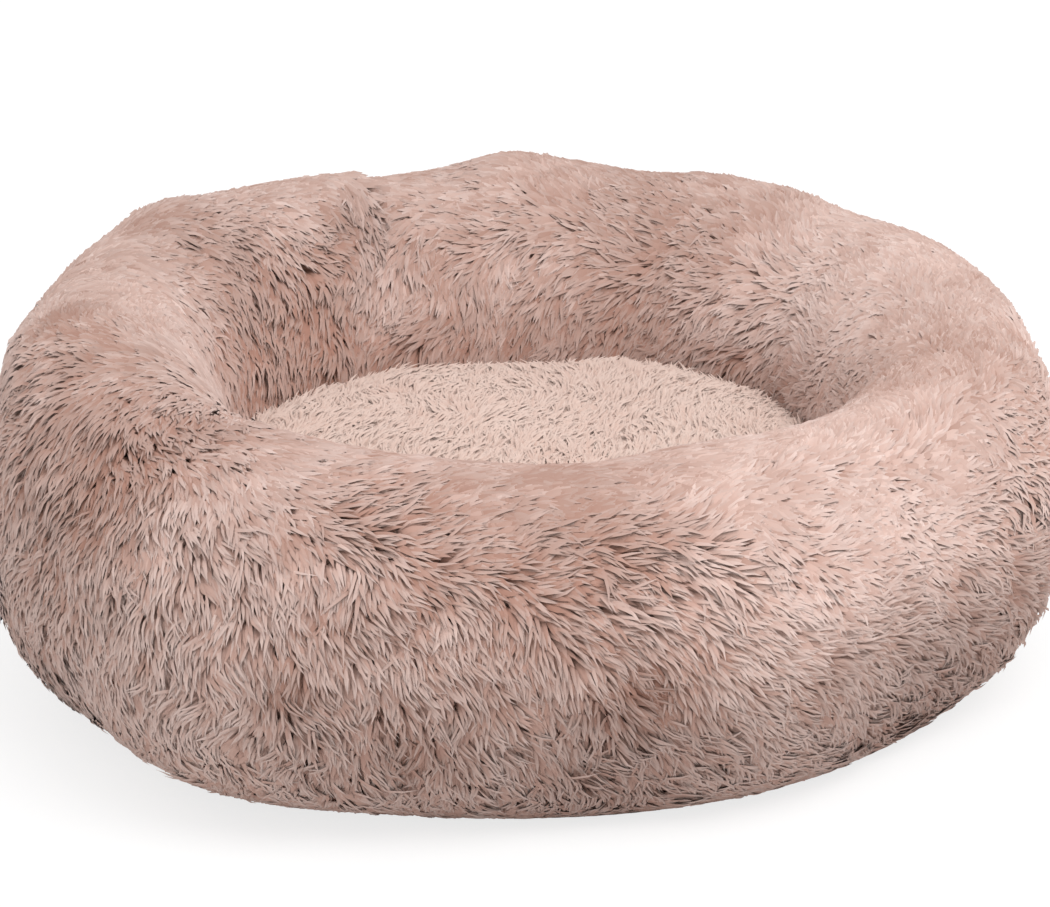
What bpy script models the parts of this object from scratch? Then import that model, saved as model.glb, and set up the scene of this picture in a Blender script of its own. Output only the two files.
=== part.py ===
# Round dog bed: a stuffed ring of long-pile fur round a stuffed centre pad, on a
# dotted cloth base with a zip in a shallow recess.
# Metres, +Z up, origin on the floor under the middle of the bed, front towards -Y.
import bmesh
import bpy
import numpy as np
from math import atan2, ceil, cos, exp, hypot, pi, radians, sin, sqrt

for old in list(bpy.data.objects):
    bpy.data.objects.remove(old, do_unlink=True)

# Clearances
FIT = 0.0003  # between pieces that touch
SOFT_FIT = 0.0006  # between stuffed pieces that touch
OVERRUN = 0.004  # how far a cutter runs past what it cuts

# Rim: the stuffed fur ring
BED_DIAMETER = 0.581
RIM_HEIGHT = 0.205  # top of the rim at the back, above the base cloth
RIM_WIDTH = 0.120
FUR_THICKNESS = 0.020  # backing and laid pile together
BASE_LIP = 0.005  # how far the fur reaches out past the base seam
FIRST_SEAM = 30.0  # degrees round the bed, where two of the fur panels meet

# Sleeping surface
NEST_HEIGHT = 0.110  # edge of the sleeping surface, above the base cloth
NEST_CROWN = 0.010
NEST_EDGE_DROP = 0.014  # how far the surface is drawn down at its seam
PANEL_THICKNESS = 0.012

# Inner bags that hold the filling
LINER_THICKNESS = 0.0012
SLIT_WIDTH = 0.012  # the opening that a bag is stuffed through
SLIT_LENGTH = 0.072

# Base
CLOTH_THICKNESS = 0.0010
PIPING_DIAMETER = 0.0032
DOT_DIAMETER = 0.0090
DOT_HEIGHT = 0.0015
DOT_PITCH = 0.036
DOT_STAGGER_SHARE = 0.5  # how far every other row is shifted along
DOT_MARGIN = 0.008  # bare cloth between a dot and any edge

# Zip, hung from the roof of its recess
RECESS_MARGIN = 0.0155  # from the rim's inner wall to the end of the recess
RECESS_WIDTH = 0.032
RECESS_DEPTH = 0.0072  # from the cloth's upper face to the tape
ZIP_END_ROOM = 0.025  # from the end of the recess to the end of the coils
TAPE_THICKNESS = 0.0008
TAPE_SLOT = 0.0016  # between the two tapes and between the two coils
COIL_WIDTH = 0.0026
COIL_HEIGHT = 0.0024
STOP_LENGTH = 0.0040
STOP_PROUD = 0.0004  # how far a stop stands out past the coil
SLIDER_LENGTH = 0.0120
SLIDER_WIDTH = 0.0110
SLIDER_PLATE = 0.0011
SLIDER_CLEARANCE = 0.0004
BRIDGE_LENGTH = 0.0030
BRIDGE_WIDTH = 0.0009
FLANGE_THICKNESS = 0.0012
PIN_DIAMETER = 0.0010
BARREL_WALL = 0.0005
EAR_THICKNESS = 0.0010
EAR_LENGTH = 0.0034
TAB_LENGTH = 0.0240
TAB_WIDTH = 0.0070
TAB_NECK = 0.0038
TAB_THICKNESS = 0.0011
TAB_HOLE = 0.0030

# How finely round things are faceted
STATIONS = 48  # round the rim
OUTER_STEPS = 16  # over the fur, from one base seam to the other
PANEL_RINGS = 6
ROUND_SIDES = 16
DOT_SIDES = 6

# The rim's form, as shares of its own sizes
FRONT_DIP_SHARE = 0.10  # the rim is lower in front by this share of its height
RIM_LEAN_SHARE = 0.05  # the crest leans outward by this share of the width
FOOT_SHARE = 0.35  # how much of an inward lump is left at the sleeping surface
# Lumps and dents: angle round the bed, half width in degrees, then shares of the
# rim's width outward and inward, and of its height upward
LUMP_SHARES = (
    (137.0, 20.0, 0.120, 0.000, 0.030),
    (115.0, 8.0, -0.050, -0.200, -0.030),
    (100.0, 10.0, -0.010, 0.050, -0.005),
    (87.0, 9.0, 0.030, 0.020, 0.022),
    (70.0, 8.0, 0.000, -0.160, -0.008),
    (50.0, 9.0, -0.010, 0.040, -0.005),
    (38.0, 8.0, -0.010, -0.120, -0.005),
    (10.0, 16.0, 0.020, 0.100, 0.010),
    (343.0, 12.0, 0.060, 0.020, 0.000),
    (319.0, 14.0, -0.150, 0.020, -0.010),
    (292.0, 12.0, -0.010, 0.040, 0.012),
    (278.0, 10.0, -0.120, -0.040, -0.010),
    (236.0, 16.0, 0.260, 0.020, 0.010),
    (207.0, 14.0, 0.060, 0.060, 0.020),
    (190.0, 18.0, 0.000, 0.160, 0.040),
)
SEAM_FADE = 8  # how late the outward lumps fade towards the base seam
# How square the rim's section is: above, below outside, below inside
ROUND_ABOVE = 2.1
ROUND_BELOW = 2.1
SQUARE_BELOW = 5.0
# Hollows pressed into the sleeping surface: place across and along as shares of
# its radius, size as a share of it, depth as a share of the crown
HOLLOW_SHARES = (
    (-0.25, -0.35, 0.45, 0.45),
    (0.35, -0.10, 0.35, 0.35),
    (0.05, 0.55, 0.30, 0.25),
)

# Worked out from the sizes above
CLOTH_TOP = DOT_HEIGHT + CLOTH_THICKNESS
SEAT = CLOTH_TOP + FIT
CREST_RADIUS = (BED_DIAMETER - RIM_WIDTH) / 2
NEST_RADIUS = CREST_RADIUS - RIM_WIDTH / 2
RECESS_LENGTH = 2 * (NEST_RADIUS - RECESS_MARGIN)
ZIP_LENGTH = RECESS_LENGTH - 2 * ZIP_END_ROOM
TAPE_BOTTOM = CLOTH_TOP + RECESS_DEPTH - TAPE_THICKNESS
TAPE_TOP = TAPE_BOTTOM + TAPE_THICKNESS
COIL_TOP = TAPE_BOTTOM - FIT
COIL_BOTTOM = COIL_TOP - COIL_HEIGHT
PLATE_TOP = COIL_BOTTOM - SLIDER_CLEARANCE
PLATE_BOTTOM = PLATE_TOP - SLIDER_PLATE
BARREL_RADIUS = PIN_DIAMETER / 2 + FIT + BARREL_WALL
PIN_HEIGHT = PLATE_BOTTOM - SLIDER_CLEARANCE - BARREL_RADIUS
SLIDER_TOP = TAPE_TOP + SLIDER_CLEARANCE + SLIDER_PLATE
SLIDER_PLACE = (ZIP_LENGTH - SLIDER_LENGTH) / 2 - SLIDER_CLEARANCE
RECESS_HALF = RECESS_LENGTH / 2
RECESS_SIDE = RECESS_WIDTH / 2


def material(name, colour, roughness, metallic=0.0):
    """A plain finish for one sub-part."""
    made = bpy.data.materials.new(name)
    made.use_nodes = True
    shader = made.node_tree.nodes["Principled BSDF"]
    shader.inputs["Base Color"].default_value = (*colour, 1.0)
    shader.inputs["Roughness"].default_value = roughness
    shader.inputs["Metallic"].default_value = metallic
    made.diffuse_color = (*colour, 1.0)
    return made


FUR = material("long_pile_fur", (0.578, 0.402, 0.342), 0.95)
PLUSH = material("short_pile_fur", (0.680, 0.500, 0.435), 0.95)
LINING = material("nonwoven_lining", (0.700, 0.690, 0.660), 0.9)
FIBRE = material("polyester_fibre", (0.860, 0.860, 0.850), 1.0)
OXFORD = material("oxford_cloth", (0.230, 0.175, 0.150), 0.85)
PIPING = material("piping_tape", (0.330, 0.240, 0.205), 0.85)
TAPE = material("zip_tape_weave", (0.300, 0.215, 0.180), 0.8)
NYLON = material("zip_nylon", (0.260, 0.185, 0.155), 0.45)
NICKEL = material("nickel_plate", (0.620, 0.600, 0.570), 0.28, 1.0)


def add(name, mesh, finish, smooth_deg=40.0):
    """Puts a mesh in the scene as a named sub-part."""
    mesh.shade_smooth()
    mesh.set_sharp_from_angle(angle=radians(smooth_deg))
    piece = bpy.data.objects.new(name, mesh)
    piece.data.materials.append(finish)
    bpy.context.scene.collection.objects.link(piece)
    return piece


def mesh_of(name, points, faces):
    """A mesh of these points, with its faces turned to point out."""
    mesh = bpy.data.meshes.new(name)
    mesh.from_pydata([tuple(p) for p in points], [], faces)
    work = bmesh.new()
    work.from_mesh(mesh)
    bmesh.ops.recalc_face_normals(work, faces=work.faces)
    work.to_mesh(mesh)
    work.free()
    return mesh


def prism(name, outline, low, high):
    """A flat outline in X and Y, made solid between two heights."""
    count = len(outline)
    points = [(x, y, low) for x, y in outline] + [(x, y, high) for x, y in outline]
    sides = [(i, (i + 1) % count, (i + 1) % count + count, i + count) for i in range(count)]
    faces = [tuple(reversed(range(count))), tuple(range(count, 2 * count)), *sides]
    return mesh_of(name, points, faces)


def block(name, low, high):
    (x0, y0, z0), (x1, y1, z1) = low, high
    return prism(name, [(x0, y0), (x1, y0), (x1, y1), (x0, y1)], z0, z1)


def tool(mesh):
    """A shape that only cuts or joins others, hidden from view."""
    piece = bpy.data.objects.new(mesh.name, mesh)
    bpy.context.scene.collection.objects.link(piece)
    piece.hide_render = True
    piece.display_type = "WIRE"
    return piece


def combine(piece, other, operation):
    """Joins another shape to a piece, or cuts it out."""
    step = piece.modifiers.new(other.name, "BOOLEAN")
    step.operation = operation
    step.solver = "EXACT"
    step.object = tool(other)
    return piece


def lumps(angle):
    """The rim's swelling at an angle: outward, inward and upward shares."""
    total = np.zeros(3)
    for centre, half_width, *shares in LUMP_SHARES:
        away = (np.degrees(angle) - centre + 180.0) % 360.0 - 180.0
        total += np.array(shares) * exp(-((away / half_width) ** 2))
    return total


def signed_power(value, power):
    return np.sign(value) * abs(value) ** power


def section_point(angle, turn, inset=0.0, lift=0.0):
    """A point of the rim's section, before the ring is centred. turn is 0 outside,
    90 degrees at the crest and 180 inside; inset shrinks the section, and lift
    raises its foot."""
    outward, inward, upward = lumps(angle)
    if sin(turn) >= 0:
        square = ROUND_ABOVE
    else:
        square = ROUND_BELOW if cos(turn) > 0 else SQUARE_BELOW
    rise = signed_power(sin(turn), 2.0 / square)
    above = max(rise, 0.0)
    if cos(turn) > 0:
        share = outward * (1.0 - min(rise, 0.0) ** SEAM_FADE)
    else:
        share = inward * (FOOT_SHARE + (1.0 - FOOT_SHARE) * above)
    reach = RIM_WIDTH * (0.5 + share) - inset
    top = RIM_HEIGHT * (1.0 + upward + FRONT_DIP_SHARE * (sin(angle) - 1.0) / 2) - inset
    half = (top - lift) / 2
    lean = RIM_LEAN_SHARE * RIM_WIDTH * above**2
    radius = CREST_RADIUS + lean + reach * signed_power(cos(turn), 2.0 / square)
    return radius * cos(angle), radius * sin(angle), SEAT + lift + half * (1.0 + rise)


# The fur runs from the outer base seam over the crest to the inner one
SEAM_TURN = radians(-78.0)
INNER_TURN = radians(262.0)
OUTER_TURNS = np.linspace(SEAM_TURN, INNER_TURN, OUTER_STEPS + 1)
INNER_TURNS = OUTER_TURNS[::2]
FUR_PANELS = ("rear", "left", "front", "right")
ANGLES = np.linspace(0.0, 2 * pi, STATIONS, endpoint=False)


def ring_centre():
    """How far the lumps push the ring off the middle of its own outline."""
    outline = np.array([[section_point(a, t) for t in OUTER_TURNS] for a in ANGLES])
    low, high = outline.min(axis=(0, 1)), outline.max(axis=(0, 1))
    return (low + high) / 2


OFF_X, OFF_Y, _ = ring_centre()


def rim_point(angle, turn, inset=0.0, lift=0.0):
    x, y, z = section_point(angle, turn, inset, lift)
    return x - OFF_X, y - OFF_Y, z


def wall_radius(angle, clearance):
    """The nest's radius at its narrowest, less a clearance, about the bed's middle."""
    x, y, _ = rim_point(angle, pi)
    return hypot(x, y) - clearance, atan2(y, x)


def tube_shell(name, angles, outer, inner, open_stations, ring=True):
    """A skin between two sections of the rim, each given as its turns, inset and
    lift. It is open underneath at the named stations. It closes on itself as a
    ring, or ends in two flat seams."""
    points, faces, starts = [], [], []
    skins = (outer, inner)
    for turns, inset, lift in skins:
        starts.append(len(points))
        points += [rim_point(a, t, inset, lift) for a in angles for t in turns]

    def corner(skin, station, step):
        count = len(skins[skin][0])
        return starts[skin] + station % len(angles) * count + step % count

    for skin, (turns, _, _) in enumerate(skins):
        for station in range(len(angles) if ring else len(angles) - 1):
            for step in range(len(turns) - (station in open_stations)):
                faces.append((
                    corner(skin, station, step),
                    corner(skin, station + 1, step),
                    corner(skin, station + 1, step + 1),
                    corner(skin, station, step + 1),
                ))
    # the edges of the opening, closed between the outer and the inner skin
    for station in open_stations:
        for step in (-1, 0):
            ends = [(skin, s) for skin in (0, 1) for s in (station, station + 1)]
            a, b, c, d = (corner(skin, s, step) for skin, s in ends)
            faces.append((a, b, d, c))
        for side, beside in ((station, station - 1), (station + 1, station + 1)):
            if not ring or beside % len(angles) in open_stations:
                continue
            faces.append((
                corner(0, side, -1),
                corner(0, side, 0),
                corner(1, side, 0),
                corner(1, side, -1),
            ))
    if not ring:
        for station in (0, -1):
            outside = [corner(0, station, step) for step in range(len(outer[0]))]
            inside = [corner(1, station, step) for step in range(len(inner[0]))]
            faces.append((*outside, *reversed(inside)))
    return mesh_of(name, points, faces)


def disc_solid(name, clearance, low_height, high_height, low_rings=1):
    """A closed disc that fills the nest to a clearance, between two height laws."""
    points, faces = [], []
    skins = ((high_height, PANEL_RINGS), (low_height, low_rings))
    starts = []
    for height, rings in skins:
        starts.append(len(points))
        points.append((-OFF_X, -OFF_Y, height(0.0, 0.0)))
        for ring in range(1, rings + 1):
            share = sqrt(ring / rings)
            for angle in ANGLES:
                radius, bearing = wall_radius(angle, clearance)
                x = share * radius * cos(bearing) - (1 - share) * OFF_X
                y = share * radius * sin(bearing) - (1 - share) * OFF_Y
                points.append((x, y, height(share, angle)))

    def corner(skin, ring, station):
        return starts[skin] + 1 + (ring - 1) * STATIONS + station % STATIONS

    for skin, (_, rings) in enumerate(skins):
        for station in range(STATIONS):
            faces.append((starts[skin], corner(skin, 1, station), corner(skin, 1, station + 1)))
            for ring in range(1, rings):
                faces.append((
                    corner(skin, ring, station),
                    corner(skin, ring + 1, station),
                    corner(skin, ring + 1, station + 1),
                    corner(skin, ring, station + 1),
                ))
    for station in range(STATIONS):
        faces.append((
            corner(0, PANEL_RINGS, station),
            corner(1, low_rings, station),
            corner(1, low_rings, station + 1),
            corner(0, PANEL_RINGS, station + 1),
        ))
    return mesh_of(name, points, faces)


def nest_top(drop=0.0):
    """The sleeping surface's height law: crowned, drawn down at the seam, with
    hollows, and lowered by a drop."""
    def height(share, angle):
        z = SEAT + NEST_HEIGHT + NEST_CROWN * (1.0 - share**2) - NEST_EDGE_DROP * share**10
        for across, along, size, depth in HOLLOW_SHARES:
            away = hypot(share * cos(angle) - across, share * sin(angle) - along)
            z -= depth * NEST_CROWN * exp(-((away / size) ** 2))
        return z - drop
    return height


def level(z):
    return lambda share, angle: z


def rim_cover():
    """Long-pile fur over the rim, sewn from four panels with a seam across the rim
    between them, and open underneath where the base cloth closes it."""
    quarter = 2 * pi / len(FUR_PANELS)
    seam_gap = SOFT_FIT / 2 / CREST_RADIUS
    cells = STATIONS // len(FUR_PANELS)
    for index, side in enumerate(FUR_PANELS):
        start = radians(FIRST_SEAM) + index * quarter
        angles = np.linspace(start, start + quarter, cells + 1)
        angles[0] += seam_gap
        angles[-1] -= seam_gap
        outer = (OUTER_TURNS, 0.0, 0.0)
        inner = (INNER_TURNS, FUR_THICKNESS, 0.0)
        name = "rim_fur_" + side
        add(name, tube_shell(name, angles, outer, inner, range(cells), ring=False), FUR)


def rim_filling():
    """The rim's inner bag, with the slit it was stuffed through, and its fibre."""
    bag = FUR_THICKNESS + SOFT_FIT
    outer = (INNER_TURNS, bag, SOFT_FIT)
    inner = (INNER_TURNS, bag + LINER_THICKNESS, SOFT_FIT + LINER_THICKNESS)
    slit = (STATIONS // 2, STATIONS // 2 + 1)
    add("rim_liner", tube_shell("rim_liner", ANGLES, outer, inner, slit), LINING)
    inset = bag + LINER_THICKNESS + SOFT_FIT
    lift = SOFT_FIT * 2 + LINER_THICKNESS
    count = len(INNER_TURNS)
    points = [rim_point(a, t, inset, lift) for a in ANGLES for t in INNER_TURNS]
    faces = []
    for station in range(STATIONS):
        here, there = station * count, (station + 1) % STATIONS * count
        for step in range(count):
            after = (step + 1) % count
            faces.append((here + step, there + step, there + after, here + after))
    add("rim_fibre_fill", mesh_of("rim_fibre_fill", points, faces), FIBRE)


def recess_block(name, grow, top):
    """The room that the zip's recess takes, grown all round."""
    low = (-RECESS_HALF - grow, -RECESS_SIDE - grow, -OVERRUN)
    return block(name, low, (RECESS_HALF + grow, RECESS_SIDE + grow, top))


def centre_pad():
    """The sleeping surface, the bag under it and the fibre in that bag."""
    panel = disc_solid(
        "centre_fur_panel", SOFT_FIT, nest_top(PANEL_THICKNESS), nest_top(), PANEL_RINGS
    )
    add("centre_fur_panel", panel, PLUSH)

    roof = SLIDER_TOP + SLIDER_CLEARANCE
    bag_drop = PANEL_THICKNESS + SOFT_FIT
    outside = disc_solid("centre_liner", SOFT_FIT * 2, level(SEAT), nest_top(bag_drop))
    bag = add("centre_liner", outside, LINING)
    wall = CLOTH_THICKNESS + SOFT_FIT
    combine(bag, recess_block("bag_recess", wall, roof), "DIFFERENCE")
    hollow = disc_solid(
        "bag_hollow",
        SOFT_FIT * 2 + LINER_THICKNESS,
        level(SEAT + LINER_THICKNESS),
        nest_top(bag_drop + LINER_THICKNESS),
    )
    hollow = tool(hollow)
    bay = recess_block("hollow_recess", wall + LINER_THICKNESS, roof + LINER_THICKNESS)
    combine(hollow, bay, "DIFFERENCE")
    step = bag.modifiers.new("hollow", "BOOLEAN")
    step.operation = "DIFFERENCE"
    step.solver = "EXACT"
    step.object = hollow
    slit_y = RECESS_SIDE + wall + LINER_THICKNESS + SLIT_WIDTH
    slit = block(
        "bag_slit",
        (-SLIT_LENGTH / 2, slit_y, -OVERRUN),
        (SLIT_LENGTH / 2, slit_y + SLIT_WIDTH, SEAT + LINER_THICKNESS + SOFT_FIT),
    )
    combine(bag, slit, "DIFFERENCE")

    inset = LINER_THICKNESS + SOFT_FIT
    fibre = disc_solid(
        "centre_fibre_fill",
        SOFT_FIT * 2 + inset,
        level(SEAT + inset),
        nest_top(bag_drop + inset),
    )
    fibre = add("centre_fibre_fill", fibre, FIBRE)
    combine(fibre, recess_block("fibre_recess", wall + inset, roof + inset), "DIFFERENCE")


# The base cloth ends inside the piping, which lies under the fur's lip
LIP_REACH = RIM_WIDTH / 2 * signed_power(cos(SEAM_TURN), 2.0 / ROUND_BELOW)
BASE_RADIUS = CREST_RADIUS + LIP_REACH - BASE_LIP - PIPING_DIAMETER


def half_disc(side):
    """One half of the base cloth, with the notch for the recess cut out of its
    straight edge. side is -1 for the front half and 1 for the rear one."""
    edge = side * FIT / 2
    start = atan2(FIT / 2, BASE_RADIUS)
    arc = np.linspace(start, pi - start, STATIONS // 2 + 1)
    outline = [(BASE_RADIUS * cos(a), side * BASE_RADIUS * sin(a)) for a in arc]
    notch = RECESS_HALF + CLOTH_THICKNESS / 2
    depth = side * (RECESS_SIDE + CLOTH_THICKNESS / 2)
    outline += [(-notch, edge), (-notch, depth), (notch, depth), (notch, edge)]
    return outline if side > 0 else outline[::-1]


def recess_wall(side):
    """The strip of cloth turned up round one half of the recess."""
    edge = side * FIT / 2
    inner, outer = RECESS_HALF, RECESS_HALF + CLOTH_THICKNESS
    near, far = side * RECESS_SIDE, side * (RECESS_SIDE + CLOTH_THICKNESS)
    outline = [
        (-outer, edge),
        (-inner, edge),
        (-inner, near),
        (inner, near),
        (inner, edge),
        (outer, edge),
        (outer, far),
        (-outer, far),
    ]
    return outline if side > 0 else outline[::-1]


def dot_places(side):
    """Where the grip dots lie on one half: a staggered grid, clear of all edges."""
    row_step = DOT_PITCH * sqrt(3.0) / 2
    clear = DOT_DIAMETER / 2 + DOT_MARGIN
    rows = ceil(BASE_RADIUS / row_step)
    places = []
    for row in range(rows):
        y = side * (RECESS_SIDE + clear + row * row_step)
        columns = ceil(BASE_RADIUS / DOT_PITCH)
        for column in range(-columns, columns + 1):
            x = (column + DOT_STAGGER_SHARE * (row % 2)) * DOT_PITCH
            if hypot(x, y) < BASE_RADIUS - clear:
                places.append((x, y))
    return places


def base_cloth(name, side):
    """Half of the coated base cloth, with grip dots printed on its underside."""
    piece = add(name, prism(name, half_disc(side), DOT_HEIGHT, CLOTH_TOP), OXFORD)
    wall = prism(name + "_wall", recess_wall(side), DOT_HEIGHT, TAPE_TOP)
    combine(piece, wall, "UNION")
    points, faces = [], []
    sink = CLOTH_THICKNESS / 2
    for x, y in dot_places(side):
        first = len(points)
        turns = [2 * pi * i / DOT_SIDES for i in range(DOT_SIDES)]
        for z in (0.0, DOT_HEIGHT + sink):
            points += [
                (x + DOT_DIAMETER / 2 * cos(t), y + DOT_DIAMETER / 2 * sin(t), z) for t in turns
            ]
        ring = list(range(first, first + DOT_SIDES))
        above = [i + DOT_SIDES for i in ring]
        faces += [tuple(reversed(ring)), tuple(above)]
        for i in range(DOT_SIDES):
            after = (i + 1) % DOT_SIDES
            faces.append((ring[i], ring[after], above[after], above[i]))
    combine(piece, mesh_of(name + "_dots", points, faces), "UNION")


def base_piping():
    """The piping sewn into the base seam, tucked under the fur's lip."""
    centre = BASE_RADIUS + FIT + PIPING_DIAMETER / 2
    height = FIT + PIPING_DIAMETER / 2
    points, faces = [], []
    for angle in ANGLES:
        for side in range(ROUND_SIDES // 2):
            turn = 2 * pi * (side + 0.5) / (ROUND_SIDES // 2)
            radius = centre + PIPING_DIAMETER / 2 * cos(turn)
            z = height + PIPING_DIAMETER / 2 * sin(turn)
            points.append((radius * cos(angle), radius * sin(angle), z))
    count = ROUND_SIDES // 2
    for station in range(STATIONS):
        here, there = station * count, (station + 1) % STATIONS * count
        for side in range(count):
            after = (side + 1) % count
            faces.append((here + side, there + side, there + after, here + after))
    add("base_piping", mesh_of("base_piping", points, faces), PIPING)


def zip_tapes():
    """Two woven tapes, sewn between the walls of the recess, and their coils."""
    end = RECESS_HALF - FIT
    slot = TAPE_SLOT / 2
    for name, side in (("front", -1), ("rear", 1)):
        edges = sorted((side * slot, side * (RECESS_SIDE - FIT)))
        tape = block(
            "zip_tape_" + name, (-end, edges[0], TAPE_BOTTOM), (end, edges[1], TAPE_TOP)
        )
        add("zip_tape_" + name, tape, TAPE)
        edges = sorted((side * slot, side * (slot + COIL_WIDTH)))
        half = ZIP_LENGTH / 2
        coil = block(
            "zip_coil_" + name, (-half, edges[0], COIL_BOTTOM), (half, edges[1], COIL_TOP)
        )
        coil = add("zip_coil_" + name, coil, NYLON)
        rounding = coil.modifiers.new("rounding", "BEVEL")
        rounding.width = COIL_HEIGHT / 4
        rounding.segments = 2
        rounding.limit_method = "ANGLE"


def zip_stops():
    """A stop at the closed end of each coil, and one across both at the far end."""
    slot, half = TAPE_SLOT / 2, ZIP_LENGTH / 2
    outer = slot + COIL_WIDTH + STOP_PROUD
    low, high = COIL_BOTTOM - STOP_PROUD, COIL_TOP
    near, far = half + FIT, half + FIT + STOP_LENGTH
    for name, side in (("front", -1), ("rear", 1)):
        edges = sorted((side * slot, side * outer))
        stop = block("zip_top_stop_" + name, (near, edges[0], low), (far, edges[1], high))
        add("zip_top_stop_" + name, stop, NICKEL)
    stop = block("zip_bottom_stop", (-far, -outer, low), (-near, outer, high))
    add("zip_bottom_stop", stop, NICKEL)


def rounded_plate(length, width, corner, sides=4):
    """The outline of a plate with round corners, about its own middle."""
    outline = []
    places = ((1, 1, 0.0), (-1, 1, 90.0), (-1, -1, 180.0), (1, -1, 270.0))
    for along, across, start in places:
        centre_x = along * (length / 2 - corner)
        centre_y = across * (width / 2 - corner)
        for step in range(sides + 1):
            turn = radians(start + 90.0 * step / sides)
            outline.append((centre_x + corner * cos(turn), centre_y + corner * sin(turn)))
    return outline


def rod_along_y(name, radius, half_length, sides):
    """A round rod along Y, about its own middle."""
    points, faces = [], []
    for y in (-half_length, half_length):
        for i in range(sides):
            turn = 2 * pi * i / sides
            points.append((radius * cos(turn), y, radius * sin(turn)))
    faces = [tuple(range(sides)), tuple(reversed(range(sides, 2 * sides)))]
    faces += [(i, i + sides, (i + 1) % sides + sides, (i + 1) % sides) for i in range(sides)]
    return mesh_of(name, points, faces)


def moved(mesh, x, y, z):
    """The same mesh, shifted."""
    for vertex in mesh.vertices:
        vertex.co.x += x
        vertex.co.y += y
        vertex.co.z += z
    return mesh


def zip_slider():
    """The slider: two plates joined by a bridge that runs in the slot between the
    coils, flanges beside the coils, and two ears that carry the pull tab's pin."""
    length, width = SLIDER_LENGTH, SLIDER_WIDTH
    corner = SLIDER_LENGTH / 5
    lower = prism(
        "zip_slider", rounded_plate(length, width, corner), PLATE_BOTTOM, PLATE_TOP
    )
    slider = add("zip_slider", lower, NICKEL)
    slider.location = (SLIDER_PLACE, 0.0, 0.0)
    parts = []
    upper_bottom = TAPE_TOP + SLIDER_CLEARANCE
    parts.append(
        prism("slider_top", rounded_plate(length, width, corner), upper_bottom, SLIDER_TOP)
    )
    sink = SLIDER_PLATE / 2
    nose = length / 2 - corner / 2
    parts.append(block(
        "slider_bridge",
        (nose - BRIDGE_LENGTH, -BRIDGE_WIDTH / 2, PLATE_TOP - sink),
        (nose, BRIDGE_WIDTH / 2, upper_bottom + sink),
    ))
    flange_half = length / 2 - corner
    for side in (-1, 1):
        edges = sorted((side * (width / 2 - FLANGE_THICKNESS), side * width / 2))
        parts.append(block(
            "slider_flange",
            (-flange_half, edges[0], PLATE_TOP - sink),
            (flange_half, edges[1], TAPE_BOTTOM - SLIDER_CLEARANCE),
        ))
        inner = TAB_NECK / 2 + SLIDER_CLEARANCE
        edges = sorted((side * inner, side * (inner + EAR_THICKNESS)))
        parts.append(block(
            "slider_ear",
            (-EAR_LENGTH / 2, edges[0], PIN_HEIGHT - BARREL_RADIUS),
            (EAR_LENGTH / 2, edges[1], PLATE_BOTTOM + sink),
        ))
    pin_half = TAB_NECK / 2 + SLIDER_CLEARANCE + EAR_THICKNESS / 2
    pin = rod_along_y("slider_pin", PIN_DIAMETER / 2, pin_half, ROUND_SIDES)
    parts.append(moved(pin, 0.0, 0.0, PIN_HEIGHT))
    for part in parts:
        combine(slider, part, "UNION")
        slider.modifiers[-1].object.location = slider.location


def zip_pull_tab():
    """The pull tab: a barrel round the slider's pin, a neck between the ears, and
    a finger plate with a hole. Its origin is on the pin's axis."""
    barrel = rod_along_y("zip_pull_tab", BARREL_RADIUS, TAB_NECK / 2, ROUND_SIDES)
    tab = add("zip_pull_tab", barrel, NICKEL)
    tab.location = (SLIDER_PLACE, 0.0, PIN_HEIGHT)
    reach = BARREL_RADIUS + TAB_WIDTH / 2
    half = TAB_THICKNESS / 2
    plate_length = TAB_LENGTH - reach
    plate = prism(
        "tab_plate", rounded_plate(plate_length, TAB_WIDTH, TAB_WIDTH / 3), -half, half
    )
    plate = moved(plate, -reach - plate_length / 2, 0.0, 0.0)
    neck = block(
        "tab_neck",
        (-reach - TAB_WIDTH / 4, -TAB_NECK / 2, -half),
        (0.0, TAB_NECK / 2, half),
    )
    hole_x = -TAB_LENGTH + TAB_WIDTH / 2
    hole = [
        (hole_x + TAB_HOLE / 2 * cos(2 * pi * i / ROUND_SIDES),
         TAB_HOLE / 2 * sin(2 * pi * i / ROUND_SIDES))
        for i in range(ROUND_SIDES)
    ]
    cuts = (
        prism("tab_hole", hole, -TAB_WIDTH, TAB_WIDTH),
        rod_along_y("tab_bore", PIN_DIAMETER / 2 + FIT, TAB_WIDTH, ROUND_SIDES),
    )
    for part, operation in (
        (neck, "UNION"),
        (plate, "UNION"),
        (cuts[0], "DIFFERENCE"),
        (cuts[1], "DIFFERENCE"),
    ):
        combine(tab, part, operation)
        tab.modifiers[-1].object.location = tab.location


rim_cover()
rim_filling()
centre_pad()
base_cloth("base_cloth_front", -1)
base_cloth("base_cloth_rear", 1)
base_piping()
zip_tapes()
zip_stops()
zip_slider()
zip_pull_tab()
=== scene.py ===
# Round dog bed: a stuffed ring of long-pile fur round a lower plush pad, on a dotted
# cloth base with a zip in a recess underneath.
# Metres, +Z up, origin on the floor under the middle of the bed, front towards -Y.
from math import cos, pi, radians, sin, sqrt

import bmesh
import bpy
import numpy as np
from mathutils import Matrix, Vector
from mathutils.geometry import delaunay_2d_cdt
from mathutils.kdtree import KDTree


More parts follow.
